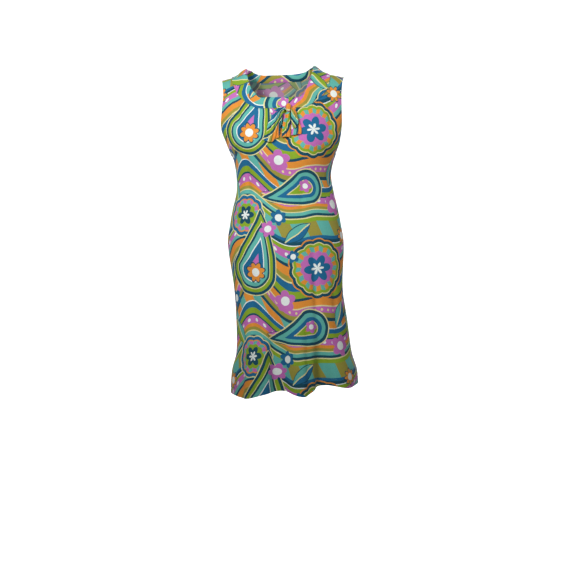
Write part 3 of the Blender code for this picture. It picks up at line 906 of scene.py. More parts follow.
@dataclass
class Collar:
    """The folded roll band round the neckline, open under the knot."""

    form: DressForm
    wall: float = 0.0014
    clearance: float = 0.0009
    seam_depth: float = -0.0009
    end_gap: float = 0.0004
    knot_x: float = 0.0105
    stations: int = 420
    curve_steps: int = 5
    walk_steps: int = 6
    pleated_part: tuple[float, float] = (0.10, 0.86)
    pleat_growth: tuple[float, float] = (0.34, 0.22)
    pleat_at_seam: float = 0.12
    pleat_power: float = 1.5
    flat: tuple[float, float] = (0.76, 0.078)
    size: Table = Table("turn rise lean fall", (
        (0, 0.0125, 0.0050, 0.020), (35, 0.0130, 0.0060, 0.023), (60, 0.0120, 0.0095, 0.034),
        (90, 0.0160, 0.0155, 0.036), (108, 0.0250, 0.0150, 0.033), (135, 0.0210, 0.0130, 0.028),
        (180, 0.0200, 0.0100, 0.026), (225, 0.0195, 0.0130, 0.026), (252, 0.0195, 0.0150, 0.028),
        (270, 0.0130, 0.0165, 0.031), (284, 0.0120, 0.0125, 0.042),
        (297, 0.0115, 0.0100, 0.046), (309, 0.0118, 0.0080, 0.047), (318, 0.0122, 0.0070, 0.043),
        (326, 0.0125, 0.0063, 0.035), (334, 0.0125, 0.0058, 0.026), (344, 0.0125, 0.0054, 0.020),
        (360, 0.0125, 0.0050, 0.020),
    ))
    profile: tuple[tuple[float, float, float, float], ...] = (
        (0.45, 0.10, 0.00, -0.0004), (0.85, 0.45, 0.00, 0.0000), (1.00, 0.80, 0.00, 0.0008),
        (0.86, 1.08, 0.00, 0.0012), (0.40, 1.02, 0.00, 0.0014), (-0.15, 0.78, 0.10, 0.0010),
        (-0.55, 0.40, 0.45, 0.0004), (-1.00, 0.00, 1.00, 0.0000),
    )
    pleats: tuple[Pleat, ...] = (
        Pleat(3.5, 0.0026, 2.0, 3.0), Pleat(9.0, 0.0031, 2.4, 6.0), Pleat(17.0, 0.0026, 3.0, 8.0),
        Pleat(31.0, 0.0011, 4.0, 4.0), Pleat(52.0, 0.0022, 4.5, -7.0),
        Pleat(66.0, 0.0026, 5.0, -9.0), Pleat(80.0, 0.0020, 4.5, -6.0),
        Pleat(97.0, 0.0022, 5.0, 5.0), Pleat(118.0, 0.0014, 6.0, 6.0),
        Pleat(149.0, 0.0012, 6.5, -4.0), Pleat(176.0, 0.0010, 5.5, 3.0),
        Pleat(204.0, 0.0013, 6.0, -5.0), Pleat(236.0, 0.0015, 6.0, 5.0),
        Pleat(262.0, 0.0022, 4.5, -6.0), Pleat(278.0, 0.0022, 5.0, 7.0),
        Pleat(301.0, 0.0046, 3.0, 14.0), Pleat(314.0, 0.0016, 4.0, 7.0),
        Pleat(330.0, 0.0018, 4.0, -4.0), Pleat(345.0, 0.0026, 2.8, -8.0),
        Pleat(352.0, 0.0031, 2.4, -6.0), Pleat(357.0, 0.0026, 2.0, -3.0),
    )

    def line(self) -> tuple[Array, Array, Array]:
        """Stations round the neck, from the knot and back to it.

        Returns:
            Their turns in degrees, whether they lie on the back, and their places on the form.
        """
        places = {side: self.form.neckline_places(side) for side in Side}
        front = places[Side.FRONT]
        even = np.linspace(0, 1, len(front))
        xs = self.form.chest(Side.FRONT, front[:, 0], front[:, 1])[:, 0]
        knot = np.interp(self.knot_x, xs, even)
        turn = np.linspace(0, 360, self.stations)
        behind = (turn > 90) & (turn < 270)
        share = np.where(
            behind, (turn - 90) / 180,
            np.where(turn <= 90, knot * (1 - turn / 90), knot + (1 - knot) * (360 - turn) / 90),
        )
        place = np.stack([
            np.where(behind, np.interp(share, even, places[Side.BACK][:, i]),
                     np.interp(share, even, front[:, i])) for i in (0, 1)
        ], -1)
        width = self.form.armhole.last("right") - self.form.armhole.last("left")
        place[0, 0] -= self.end_gap / width
        place[-1, 0] += self.end_gap / width
        return turn, behind, place

    def frame(self, behind: Array, place: Array) -> tuple[Array, ...]:
        """The form at places on either side.

        Args:
            behind: which stations lie on the back.
            place: their places on the form.

        Returns:
            Points, how they move with across and with climb, and outward normals.
        """
        both = [self.form.chest_frame(side, place) for side in Side]
        pick = behind.reshape(behind.shape + (1,) * (both[0][0].ndim - behind.ndim))
        return tuple(np.where(pick, back, front) for front, back in zip(*both))

    def section(self, turn: Array) -> Array:
        """Middle line of the band across each station.

        Args:
            turn: the stations' turns round the neck.

        Returns:
            Distance in from the seam and lift, for each station and point.
        """
        low = self.clearance + self.wall / 2
        rise, lean, fall = (self.size.read(name, turn) for name in ("rise", "lean", "fall"))
        seam = (np.full_like(turn, self.form.gap), np.full_like(turn, self.seam_depth))
        points = [np.stack(seam, -1)]
        for along, lean_share, settle, extra in self.profile:
            reach = rise if along > 0 else fall
            lift = mix(lean * lean_share, low, settle) + extra
            points.append(np.stack([reach * along, lift], -1))
        knots = np.stack(points, 1)
        padded = np.concatenate([knots[:, :1], knots, knots[:, -1:]], 1)
        share = np.linspace(0, 1, self.curve_steps, endpoint=False)[None, :, None]
        curve = [
            spline(*(padded[:, None, i + j] for j in range(4)), share)
            for i in range(knots.shape[1] - 1)
        ]
        return np.concatenate(curve + [knots[:, -1:]], 1)

    def pleated(self, turn: Array, path: Array) -> Array:
        """How far the pleats push the band in, least by its seam and its edge.

        Args:
            turn: the stations' turns round the neck.
            path: the band's middle line at each station.

        Returns:
            Depth for each station and point.
        """
        share = np.linspace(0, 1, path.shape[1])[None, :]
        (first, part), (start, growth) = self.pleated_part, self.pleat_growth
        body = np.sin(math.pi * np.clip((share - first) / part, 0, 1)) ** self.pleat_power
        body = body * mix(self.pleat_at_seam, 1.0, ease((share - start) / growth))
        return sum(
            p.depth * trough((turn[:, None] - p.turn - p.slant * (share - 0.5)) / p.width)
            for p in self.pleats
        ) * body

    def lay(self, behind: Array, place: Array, path: Array) -> Array:
        """Points in space for a line of the band's section at each station.

        Args:
            behind: which stations lie on the back.
            place: places of the stations on the form.
            path: distance in from the seam and lift, for each station and point.

        Returns:
            Array of stations, points and coordinates.
        """
        point, _, _, normal = self.frame(behind, place)
        tangent = unit(np.gradient(point, axis=0))
        inward = unit(np.cross(tangent, normal))
        centre = np.array([sum(self.form.neck) / 2, 0.0, 0.0])
        away = np.sum(inward * (centre - point), -1, keepdims=True) < 0
        inward = np.where(away, -inward, inward)
        above = point[:, None] + inward[:, None] * path[..., :1] + normal[:, None] * path[..., 1:]
        spots = np.repeat(place[:, None], path.shape[1], 1)
        way = np.repeat(-inward[:, None], path.shape[1], 1)
        distance = np.maximum(-path[..., 0], 0)
        for _ in range(self.walk_steps):
            _, along, up, normal = self.frame(behind, spots)
            way = unit(way - normal * np.sum(way * normal, -1, keepdims=True))
            aa, ab, bb = (np.sum(p * q, -1) for p, q in ((along, along), (along, up), (up, up)))
            a, b = np.sum(way * along, -1), np.sum(way * up, -1)
            scale = distance / self.walk_steps / (aa * bb - ab * ab)
            spots = np.stack([
                spots[..., 0] + (a * bb - b * ab) * scale,
                np.minimum(1.0, spots[..., 1] + (b * aa - a * ab) * scale),
            ], -1)
        point, _, _, normal = self.frame(behind, spots)
        return np.where(path[..., :1] >= 0, above, point + normal * path[..., 1:])

    def build(self, finishes: Sequence[bpy.types.Material]) -> bpy.types.Object:
        """The band with its roll and its pleats.

        Args:
            finishes: materials of the right and the wrong side.

        Returns:
            The piece.
        """
        turn, behind, place = self.line()
        path = self.section(turn)
        along = unit(np.gradient(path, axis=1))
        side = np.stack([along[..., 1], -along[..., 0]], -1)
        path = path - side * self.pleated(turn, path)[..., None]
        outer = self.lay(behind, place, path + side * self.wall / 2)
        inner = self.lay(behind, place, path - side * self.wall / 2)
        flat = print_map(outer, 0)
        flat[..., 1] = polyline_lengths(outer[:, outer.shape[1] // 2])[:, None]
        piece = sheet_object("roll_collar", outer, inner, flat, finishes)
        placed(piece, ["collar"])
        return piece


@dataclass(frozen=True)
class Tuck:
    """A fold down a strip of the bow, from one share of its width to another."""

    top: float
    bottom: float
    depth: float
    width: float


@dataclass(frozen=True)
class Strip:
    """One hanging strip of the bow. slant lowers its bottom edge, from its left to its right."""

    name: str
    shape: Table
    tucks: tuple[Tuck, ...]
    slant: Table
    flat: tuple[float, float]
    printed_at: tuple[float, float, float]
    gathers: float = 4.0


STRIP_COLUMNS = "z left right lift crown"
STRIPS = (
    Strip("bow_tail_left", Table(STRIP_COLUMNS, (
        (-0.2080, -0.0675, -0.0185, 0.0035, 0.0050), (-0.1960, -0.0620, -0.0160, 0.0035, 0.0060),
        (-0.1780, -0.0545, -0.0140, 0.0040, 0.0070), (-0.1600, -0.0520, -0.0110, 0.0045, 0.0075),
        (-0.1435, -0.0430, -0.0085, 0.0060, 0.0075), (-0.1200, -0.0340, -0.0045, 0.0085, 0.0060),
        (-0.1075, -0.0175, 0.0022, 0.0095, 0.0030),
    )), (Tuck(0.34, 0.20, 0.0042, 0.085), Tuck(0.56, 0.56, 0.0050, 0.075),
         Tuck(0.76, 0.84, 0.0036, 0.065)),
        Table("share drop", ((0.0, -0.002), (0.55, 0.005), (0.8, -0.006), (1.0, -0.009))),
        (0.052, 0.105), (-0.018, -0.180, 40), 5.0),
    Strip("bow_tail_centre", Table(STRIP_COLUMNS, (
        (-0.1985, -0.0105, 0.0160, 0.0040, 0.0055), (-0.1750, -0.0080, 0.0170, 0.0045, 0.0060),
        (-0.1500, -0.0055, 0.0160, 0.0060, 0.0060), (-0.1320, -0.0020, 0.0150, 0.0062, 0.0045),
        (-0.1214, 0.0060, 0.0150, 0.0056, 0.0008),
    )), (Tuck(0.40, 0.66, 0.0042, 0.110), Tuck(0.16, 0.20, 0.0026, 0.090)),
        Table("share drop", ((0.0, 0.0), (1.0, -0.002))), (0.032, 0.080), (-0.233, -0.160, 50), 3.0),
    Strip("bow_loop_right", Table(STRIP_COLUMNS, (
        (-0.1700, 0.0240, 0.0340, 0.0100, 0.0030), (-0.1620, 0.0215, 0.0385, 0.0100, 0.0050),
        (-0.1500, 0.0190, 0.0400, 0.0105, 0.0060), (-0.1350, 0.0180, 0.0370, 0.0115, 0.0060),
        (-0.1200, 0.0185, 0.0325, 0.0120, 0.0050), (-0.1085, 0.0188, 0.0265, 0.0100, 0.0030),
    )), (Tuck(0.35, 0.42, 0.0034, 0.110), Tuck(0.70, 0.74, 0.0030, 0.090)),
        Table("share drop", ((0.0, -0.001), (0.5, 0.002), (1.0, -0.003))), (0.026, 0.066),
        (0.060, -0.010, 55), 3.0),
    Strip("bow_tail_right", Table(STRIP_COLUMNS, (
        (-0.1900, 0.0185, 0.0485, 0.0030, 0.0050), (-0.1720, 0.0188, 0.0490, 0.0030, 0.0040),
        (-0.1560, 0.0190, 0.0435, 0.0035, 0.0030), (-0.1350, 0.0195, 0.0385, 0.0045, 0.0030),
        (-0.1120, 0.0184, 0.0320, 0.0060, 0.0020),
    )), (Tuck(0.55, 0.42, 0.0026, 0.100), Tuck(0.85, 0.78, 0.0022, 0.080)),
        Table("share drop", ((0.0, 0.002), (1.0, -0.002))), (0.032, 0.082), (-0.200, -0.100, -35)),
)


@dataclass
class Bow:
    """The limp tie: a knot at the centre front, two tails, a folded tail and a loop."""

    form: DressForm
    cloth: float = 0.0013
    wall: float = 0.0020
    centre: tuple[float, float] = (0.0105, -0.1080)
    lift: float = 0.0105
    radii: tuple[float, float, float] = (0.0090, 0.0085, 0.0130)
    waist: float = 0.12
    gather: float = 0.0007
    grid: tuple[int, int] = (46, 40)
    edge_growth: float = 6.0
    top_fade: tuple[float, float] = (5.0, 0.25)
    gather_growth: tuple[float, float] = (2.2, -1.1)
    slant_fade: int = 3
    ball: tuple[int, int] = (64, 40)
    wrap: tuple[float, float] = (0.012, 0.010)
    printed_at: tuple[float, float] = (0.1125, -0.268)
    groove_depth: float = 0.15
    groove_width: float = 0.16
    groove_lean: float = 0.45
    grooves: tuple[tuple[float, float], ...] = (
        (-2.0, 0.9), (-1.15, 0.8), (-0.42, 0.55), (0.38, 0.75), (1.15, 0.6), (2.1, 0.7),
    )

    def off_front(self, x: Array, z: Array, lift: Array) -> Array:
        """Points over the front panel.

        Args:
            x: places across.
            z: heights.
            lift: how far off the panel.

        Returns:
            The points.
        """
        place = self.form.chest_place(x, z)
        y = self.form.chest(Side.FRONT, place[..., 0], place[..., 1])[..., 1]
        return np.stack([x, y - lift, z], -1)

    def build_strip(self, strip: Strip, finishes: Sequence[bpy.types.Material]
                    ) -> bpy.types.Object:
        """One strip with its tucks and its slanted end.

        Args:
            strip: the strip's shape.
            finishes: materials of the right and the wrong side.

        Returns:
            The piece.
        """
        keys = np.array(strip.shape.rows)[:, 0]
        down, share = (np.linspace(0, 1, count) for count in self.grid)
        down, share = down[:, None], share[None, :]
        z = mix(keys[0], keys[-1], down) + 0 * share
        left, right, lift, crown = (
            strip.shape.read(name, z) for name in ("left", "right", "lift", "crown")
        )
        x = mix(left, right, share)
        lift = lift + self.wall + crown * np.sin(math.pi * share)
        inside = ease(self.edge_growth * share) * ease(self.edge_growth * (1 - share))
        slope, start = self.top_fade
        body = inside * ease(slope * (1 - down) + start)
        for tuck in strip.tucks:
            middle = mix(tuck.bottom, tuck.top, down)
            lift = lift - tuck.depth * trough((share - middle) / tuck.width) * body
        slope, start = self.gather_growth
        gather = np.sin(2 * math.pi * strip.gathers * share) * ease(slope * down + start)
        lift = lift + self.gather * gather * inside
        z = z - strip.slant.read("drop", share + 0 * z) * (1 - down) ** self.slant_fade
        outer = self.off_front(x, z, lift)
        normals = grid_normals(outer, 1.0)
        inner = outer - normals * self.cloth
        flat = print_map(outer, 0)
        flat[..., 1] -= flat[:1, :, 1]
        u, v, turn = strip.printed_at
        c, s = math.cos(math.radians(turn)), math.sin(math.radians(turn))
        flat = flat @ np.array(((c, s), (-s, c))) + (u, v)
        piece = sheet_object(strip.name.replace("bow", "tie"), outer, inner, flat, finishes)
        placed(piece, [strip.name])
        return piece

    def build_knot(self, finish: bpy.types.Material) -> bpy.types.Object:
        """The knot, wrapped by a few turns of cloth.

        Args:
            finish: its material.

        Returns:
            The piece.
        """
        bpy.ops.object.select_all(action="DESELECT")
        segments, rings = self.ball
        bpy.ops.mesh.primitive_uv_sphere_add(segments=segments, ring_count=rings, radius=1.0)
        piece = bpy.context.active_object
        piece.name = piece.data.name = "tie_knot"
        mesh = piece.data
        co = np.zeros(len(mesh.vertices) * 3)
        mesh.vertices.foreach_get("co", co)
        co = co.reshape(-1, 3)
        turn = np.arctan2(co[:, 0], -co[:, 1])
        waist = 1 - self.waist * np.cos(co[:, 2] * math.pi / 2) ** 2
        groove = sum(
            self.groove_depth
            * np.exp(-(((turn - at - slant * self.groove_lean * co[:, 2]) / self.groove_width) ** 2))
            for at, slant in self.grooves
        )
        waist = waist * (1 - groove * (1 - co[:, 2] ** 2))
        centre = self.off_front(*(np.array(v) for v in (*self.centre, self.lift)))
        shape = co * np.stack([waist, waist, np.ones_like(waist)], -1)
        mesh.vertices.foreach_set("co", (centre + shape * self.radii).ravel())
        layer = mesh.uv_layers[0]
        layer.name = "cloth"
        corners = np.zeros(len(mesh.loops), dtype=np.int32)
        mesh.loops.foreach_get("vertex_index", corners)
        flat = co[:, [0, 2]] * self.wrap + self.printed_at
        layer.data.foreach_set("uv", flat[corners].ravel())
        mesh.materials.append(finish)
        mesh.shade_smooth()
        return placed(piece, ["bow_knot"])


@dataclass(frozen=True)
class StitchRow:
    """A row of small stitches that lie on the cloth."""

    pitch: float = 0.0032
    length: float = 0.0023
    width: float = 0.00042
    height: float = 0.00030
    normal_weight: float = 1e-6
    rings: tuple[tuple[float, float], ...] = ((-0.5, 0.35), (-0.28, 1.0), (0.28, 1.0), (0.5, 0.35))
    outline: tuple[tuple[float, float], ...] = ((-1, 0), (-0.6, 0.8), (0.6, 0.8), (1, 0), (0, -0.6))

    def build(self, name: str, line: Array, normals: Array,
              finish: bpy.types.Material) -> bpy.types.Object:
        """Stitches along a line.

        Args:
            name: the piece's name.
            line: points of the line, on the cloth.
            normals: outward normals of the cloth at those points.
            finish: material of the thread.

        Returns:
            The piece.
        """
        count = int(polyline_lengths(line)[-1] / self.pitch)
        both = even_line(np.concatenate([line, normals * self.normal_weight], -1), count)
        middle = both[1:-1, :3]
        along = unit(both[2:, :3] - both[:-2, :3])
        up = unit(both[1:-1, 3:])
        side = np.cross(along, up)
        verts, faces = [], []
        for share, size in self.rings:
            for across, high in self.outline:
                verts.append(
                    middle + along * share * self.length
                    + side * across * size * self.width / 2
                    + up * (high * size * self.height)
                )
        around = len(self.outline)
        for ring in range(len(self.rings) - 1):
            for k in range(around):
                a, b = ring * around + k, ring * around + (k + 1) % around
                faces.append((a, b, b + around, a + around))
        corners = len(verts)
        verts = np.stack(verts, 1)
        first = (np.arange(len(middle)) * corners)[:, None, None]
        quads = (first + np.array(faces)[None]).reshape(-1, 4).tolist()
        start = np.arange(around)
        caps = np.stack([start[::-1], start + corners - around])[None] + first
        mesh = bpy.data.meshes.new(name)
        mesh.from_pydata(
            verts.reshape(-1, 3).tolist(), [], quads + caps.reshape(-1, around).tolist()
        )
        mesh.materials.append(finish)
        piece = finished(name, mesh)
        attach(piece, "root")
        return piece


# ---------------------------------------------------------------------------------------------
# Finishes
# ---------------------------------------------------------------------------------------------


class Ink(Enum):
    """Inks of the print, as screen values."""

    PETROL = (16, 74, 94)
    BLUE = (26, 104, 148)
    AQUA = (96, 180, 168)
    LIME = (136, 168, 40)
    OLIVE = (156, 148, 62)
    ORANGE = (226, 144, 54)
    ORCHID = (194, 108, 182)
    CREAM = (226, 218, 156)
    WHITE = (232, 240, 236)

    @property
    def linear(self) -> Colour:
        """The ink as linear light.

        Returns:
            Its red, green and blue.
        """
        return tuple(
            c / 12.92 if c <= 0.04045 else ((c + 0.055) / 1.055) ** 2.4
            for c in (part / 255 for part in self.value)
        )


class Value:
    """A shader value that Python's own signs work on."""

    def __init__(self, shader: "Nodes", socket: bpy.types.NodeSocket) -> None:
        """Wraps a socket of a shader."""
        self.shader = shader
        self.socket = socket

    def __add__(self, other: "Value | float") -> "Value":
        """Sum."""
        return self.shader.math("ADD", self, other)

    def __radd__(self, other: float) -> "Value":
        """Sum with a number first."""
        return self.shader.math("ADD", other, self)

    def __sub__(self, other: "Value | float") -> "Value":
        """Difference."""
        return self.shader.math("SUBTRACT", self, other)

    def __rsub__(self, other: float) -> "Value":
        """Difference with a number first."""
        return self.shader.math("SUBTRACT", other, self)

    def __mul__(self, other: "Value | float") -> "Value":
        """Product."""
        return self.shader.math("MULTIPLY", self, other)

    def __rmul__(self, other: float) -> "Value":
        """Product with a number first."""
        return self.shader.math("MULTIPLY", other, self)

    def __pow__(self, other: "Value | float") -> "Value":
        """Power."""
        return self.shader.math("POWER", self, other)

    def __abs__(self) -> "Value":
        """Size without the sign."""
        return self.shader.math("ABSOLUTE", self)

    def __lt__(self, other: "Value | float") -> "Value":
        """1 where less, 0 elsewhere."""
        return self.shader.math("LESS_THAN", self, other)

    def __gt__(self, other: "Value | float") -> "Value":
        """1 where more, 0 elsewhere."""
        return self.shader.math("GREATER_THAN", self, other)


class Nodes:
    """A node tree that is filled by calls."""

    def __init__(self, tree: bpy.types.NodeTree) -> None:
        """Starts on a tree."""
        self.tree = tree

    def add(self, kind: str, settings: dict | None = None, inputs: dict | None = None,
            output: int | str = 0) -> Value:
        """Adds a node.

        Args:
            kind: the node's type.
            settings: its own properties.
            inputs: numbers, colours or values for its sockets, by name or number.
            output: which of its outputs to return, by name or number.

        Returns:
            The output as a value.
        """
        node = self.tree.nodes.new(kind)
        for name, value in (settings or {}).items():
            setattr(node, name, value)
        for key, value in (inputs or {}).items():
            if isinstance(value, Value):
                self.tree.links.new(value.socket, node.inputs[key])
            else:
                node.inputs[key].default_value = value
        return Value(self, node.outputs[output] if node.outputs else None)

    def math(self, operation: str, *values: "Value | float") -> Value:
        """Adds a Math node."""
        return self.add("ShaderNodeMath", {"operation": operation}, dict(enumerate(values)))

    def blend(self, share: "Value | float", first: "Value | Colour",
              second: "Value | Colour", mode: str = "MIX") -> Value:
        """Mixes two colours.

        Args:
            share: 0 for the first and 1 for the second.
            first: the first colour.
            second: the second one.
            mode: how they are mixed.

        Returns:
            The mixed colour.
        """
        ends = [c if isinstance(c, Value) else (*c, 1.0) for c in (first, second)]
        settings = {"data_type": "RGBA", "blend_type": mode}
        return self.add("ShaderNodeMix", settings, {0: share, 6: ends[0], 7: ends[1]}, 2)

    def bands(self, value: Value, stops: Sequence[tuple[float, Ink]]) -> Value:
        """Bands of ink, each from its stop to the next.

        Args:
            value: where to read the bands.
            stops: the bands' starts and inks.

        Returns:
            The ink there.
        """
        result = self.add("ShaderNodeValToRGB", {}, {0: value})
        ramp = result.socket.node.color_ramp
        ramp.interpolation = "CONSTANT"
        for number, (place, ink) in enumerate(stops):
            stop = ramp.elements[number] if number < 2 else ramp.elements.new(place)
            stop.position = place
            stop.color = (*ink.linear, 1.0)
        return result

    def noise(self, place: Value, scale: float, detail: float = 2.0) -> Value:
        """Soft noise from 0 to 1."""
        return self.add("ShaderNodeTexNoise", {"noise_dimensions": "2D"},
                        {"Vector": place, "Scale": scale, "Detail": detail})


class Shader(Nodes):
    """A material whose nodes are added by calls."""

    def __init__(self, name: str) -> None:
        """Starts a material with one Principled shader.

        Args:
            name: the material's name.
        """
        self.material = bpy.data.materials.new(name)
        self.material.use_nodes = True
        super().__init__(self.material.node_tree)
        self.principled = self.tree.nodes["Principled BSDF"]

    def feed(self, socket: str, value: Value) -> None:
        """Leads a value into a socket of the Principled shader."""
        self.tree.links.new(value.socket, self.principled.inputs[socket])


class Group(Nodes):
    """A group of nodes with numbers in and one colour out."""

    def __init__(self, name: str, inputs: Sequence[str]) -> None:
        """Starts a group.

        Args:
            name: the group's name.
            inputs: names of its numbers.
        """
        super().__init__(bpy.data.node_groups.new(name, "ShaderNodeTree"))
        for title in inputs:
            self.tree.interface.new_socket(title, in_out="INPUT", socket_type="NodeSocketFloat")
        self.tree.interface.new_socket("colour", in_out="OUTPUT", socket_type="NodeSocketColor")
        source = self.tree.nodes.new("NodeGroupInput")
        self.inputs = [Value(self, source.outputs[title]) for title in inputs]

    def close(self, colour: Value) -> bpy.types.NodeTree:
        """Leads a colour out of the group, and returns the group."""
        self.add("NodeGroupOutput", {}, {0: colour})
        return self.tree


Stops = tuple[tuple[float, Ink], ...]
PRINT_REPEAT = (0.42, 0.43)


@dataclass(frozen=True)
class Motif:
    """A motif of the print: where its middle lies in the repeat, its size and its turn."""

    x: float
    y: float
    size: float
    turn: float
    stops: Stops

    def local(self, shader: Nodes, u: Value, v: Value, repeat: tuple[float, float]
              ) -> tuple[Value, Value]:
        """Turns a place on the cloth to the axes of the motif's nearest copy.

        Args:
            shader: where the nodes go.
            u: place across the cloth.
            v: place up the cloth.
            repeat: width and height of the print's repeat.

        Returns:
            The place in the motif's own axes.
        """
        p = shader.math("WRAP", u - self.x, repeat[0] / 2, -repeat[0] / 2)
        q = shader.math("WRAP", v - self.y, repeat[1] / 2, -repeat[1] / 2)
        c, s = math.cos(math.radians(self.turn)), math.sin(math.radians(self.turn))
        return p * c + q * s, q * c - p * s

    def depth(self, shader: Nodes, x: Value, y: Value) -> Value:
        """0 at the motif's outline, 1 at its middle and less than nothing outside."""
        raise NotImplementedError

    def lay(self, shader: Nodes, ground: Value, u: Value, v: Value,
            repeat: tuple[float, float]) -> Value:
        """Prints the motif over a ground.

        Args:
            shader: where the nodes go.
            ground: colour of the ground.
            u: place across the cloth.
            v: place up the cloth.
            repeat: width and height of the print's repeat.

        Returns:
            The colour.
        """
        x, y = self.local(shader, u, v, repeat)
        depth = self.depth(shader, x, y)
        return shader.blend(depth > 0.0, ground, self.fill(shader, depth, x, y))

    def fill(self, shader: Nodes, depth: Value, x: Value, y: Value) -> Value:
        """Colour inside the motif."""
        return shader.bands(depth, self.stops)


@dataclass(frozen=True)
class Paisley(Motif):
    """A bent drop with nested bands."""

    length: float = 0.19
    bend: float = 1.4
    taper: float = 0.75

    def depth(self, shader: Nodes, x: Value, y: Value) -> Value:
        """Share of the way in from the outline to the spine.

        Args:
            shader: where the nodes go.
            x: place along the motif.
            y: place across it.

        Returns:
            0 at the outline and 1 in the middle.
        """
        along = shader.math("MINIMUM", shader.math("MAXIMUM", x, 0.0), self.length)
        off = y - along * along * self.bend
        gap = x - along
        away = shader.math("SQRT", gap * gap + off * off)
        radius = (1.0 - along * (1 / self.length)) ** self.taper * self.size
        return (radius - away) * (1 / self.size)


@dataclass(frozen=True)
class Flower(Motif):
    """Round petals about a middle."""

    petals: int = 6
    cut: float = 0.35
    eye: float = 0.0

    def depth(self, shader: Nodes, x: Value, y: Value) -> Value:
        """Share of the way in from the petals' edge to the middle.

        Args:
            shader: where the nodes go.
            x: place along the motif.
            y: place across it.

        Returns:
            0 at the outline and 1 in the middle.
        """
        away = shader.math("SQRT", x * x + y * y)
        wave = abs(shader.math("COSINE", shader.math("ARCTAN2", y, x) * (self.petals / 2)))
        return (wave * self.cut + (1 - self.cut)) - away * (1 / self.size)

    def fill(self, shader: Nodes, depth: Value, x: Value, y: Value) -> Value:
        """Petals round a pale, round eye.

        Args:
            shader: where the nodes go.
            depth: how far in from the outline.
            x: place along the motif.
            y: place across it.

        Returns:
            The colour.
        """
        away = shader.math("SQRT", x * x + y * y)
        petals = shader.bands(depth, self.stops)
        return shader.blend(away < self.size * self.eye, petals, Ink.WHITE.linear)


@dataclass(frozen=True)
class Medallion(Flower):
    """Rings with a ring of blocks and a flower in the middle."""

    blocks: int = 14
    block_ring: tuple[float, float] = (0.26, 0.42)
    block_ink: Ink = Ink.ORANGE
    heart: Stops = ((0.0, Ink.BLUE), (0.55, Ink.WHITE))
    heart_size: float = 0.46
    heart_cut: float = 0.42

    def fill(self, shader: Nodes, depth: Value, x: Value, y: Value) -> Value:
        """Rings, blocks and the flower.

        Args:
            shader: where the nodes go.
            depth: how far in from the outline.
            x: place along the motif.
            y: place across it.

        Returns:
            The colour.
        """
        turn = shader.math("ARCTAN2", y, x)
        block = shader.math("SINE", turn * self.blocks) > 0.0
        inside = (depth > self.block_ring[0]) * (depth < self.block_ring[1])
        colour = shader.bands(depth, self.stops)
        colour = shader.blend(block * inside, colour, self.block_ink.linear)
        size = self.size * self.heart_size
        heart = Flower(0, 0, size, 0, self.heart, petals=6, cut=self.heart_cut)
        within = heart.depth(shader, x, y)
        return shader.blend(within > 0.0, colour, shader.bands(within, self.heart))


@dataclass(frozen=True)
class Leaf(Motif):
    """A leaf of two halves."""

    width: float = 0.4
    halves: tuple[Ink, Ink] = (Ink.AQUA, Ink.BLUE)
    rib: float = 0.035
    rim: float = 0.12

    def depth(self, shader: Nodes, x: Value, y: Value) -> Value:
        """Share of the way in from the edge to the rib."""
        along = x * (1 / self.size)
        return (1.0 - along * along) - abs(y) * (1 / (self.size * self.width))

    def fill(self, shader: Nodes, depth: Value, x: Value, y: Value) -> Value:
        """Outline, two halves and the rib between them.

        Args:
            shader: where the nodes go.
            depth: how far in from the outline.
            x: place along the motif.
            y: place across it.

        Returns:
            The colour.
        """
        body = shader.blend(y > 0.0, self.halves[1].linear, self.halves[0].linear)
        body = shader.blend(abs(y) < self.size * self.rib, body, self.stops[-1][1].linear)
        return shader.blend(depth < self.rim, body, self.stops[0][1].linear)


DROP_BANDS: Stops = (
    (0.0, Ink.CREAM), (0.035, Ink.PETROL), (0.14, Ink.LIME), (0.26, Ink.CREAM), (0.29, Ink.PETROL),
    (0.37, Ink.AQUA), (0.52, Ink.WHITE), (0.56, Ink.BLUE), (0.76, Ink.ORCHID),
)
SMALL_DROP_BANDS: Stops = (
    (0.0, Ink.CREAM), (0.06, Ink.PETROL), (0.22, Ink.AQUA), (0.42, Ink.BLUE), (0.62, Ink.CREAM),
    (0.67, Ink.LIME), (0.85, Ink.ORANGE),
)
RING_BANDS: Stops = (
    (0.0, Ink.ORANGE), (0.04, Ink.PETROL), (0.14, Ink.CREAM), (0.17, Ink.LIME),
    (0.26, Ink.AQUA), (0.42, Ink.ORCHID),
)
SMALL_RING_BANDS: Stops = (
    (0.0, Ink.CREAM), (0.05, Ink.BLUE), (0.2, Ink.ORANGE), (0.26, Ink.ORCHID), (0.42, Ink.LIME),
)
ORCHID_PETALS: Stops = ((0.0, Ink.ORCHID), (0.9, Ink.ORCHID))
BLUE_PETALS: Stops = ((0.0, Ink.BLUE), (0.9, Ink.BLUE))
ORANGE_PETALS: Stops = ((0.0, Ink.PETROL), (0.12, Ink.ORANGE))
GROUND_BANDS: Stops = (
    (0.0, Ink.LIME), (0.035, Ink.CREAM), (0.043, Ink.PETROL), (0.068, Ink.AQUA),
    (0.100, Ink.CREAM), (0.107, Ink.OLIVE), (0.130, Ink.ORANGE), (0.158, Ink.ORCHID),
    (0.210, Ink.PETROL), (0.222, Ink.LIME), (0.255, Ink.BLUE), (0.290, Ink.WHITE),
    (0.298, Ink.AQUA), (0.350, Ink.PETROL), (0.372, Ink.OLIVE), (0.405, Ink.ORCHID),
    (0.445, Ink.CREAM), (0.453, Ink.ORANGE), (0.490, Ink.PETROL), (0.505, Ink.LIME),
    (0.545, Ink.BLUE), (0.585, Ink.CREAM), (0.593, Ink.OLIVE), (0.620, Ink.ORANGE),
    (0.668, Ink.PETROL), (0.690, Ink.AQUA), (0.722, Ink.ORCHID), (0.775, Ink.LIME),
    (0.808, Ink.WHITE), (0.816, Ink.PETROL), (0.840, Ink.BLUE), (0.870, Ink.OLIVE),
)
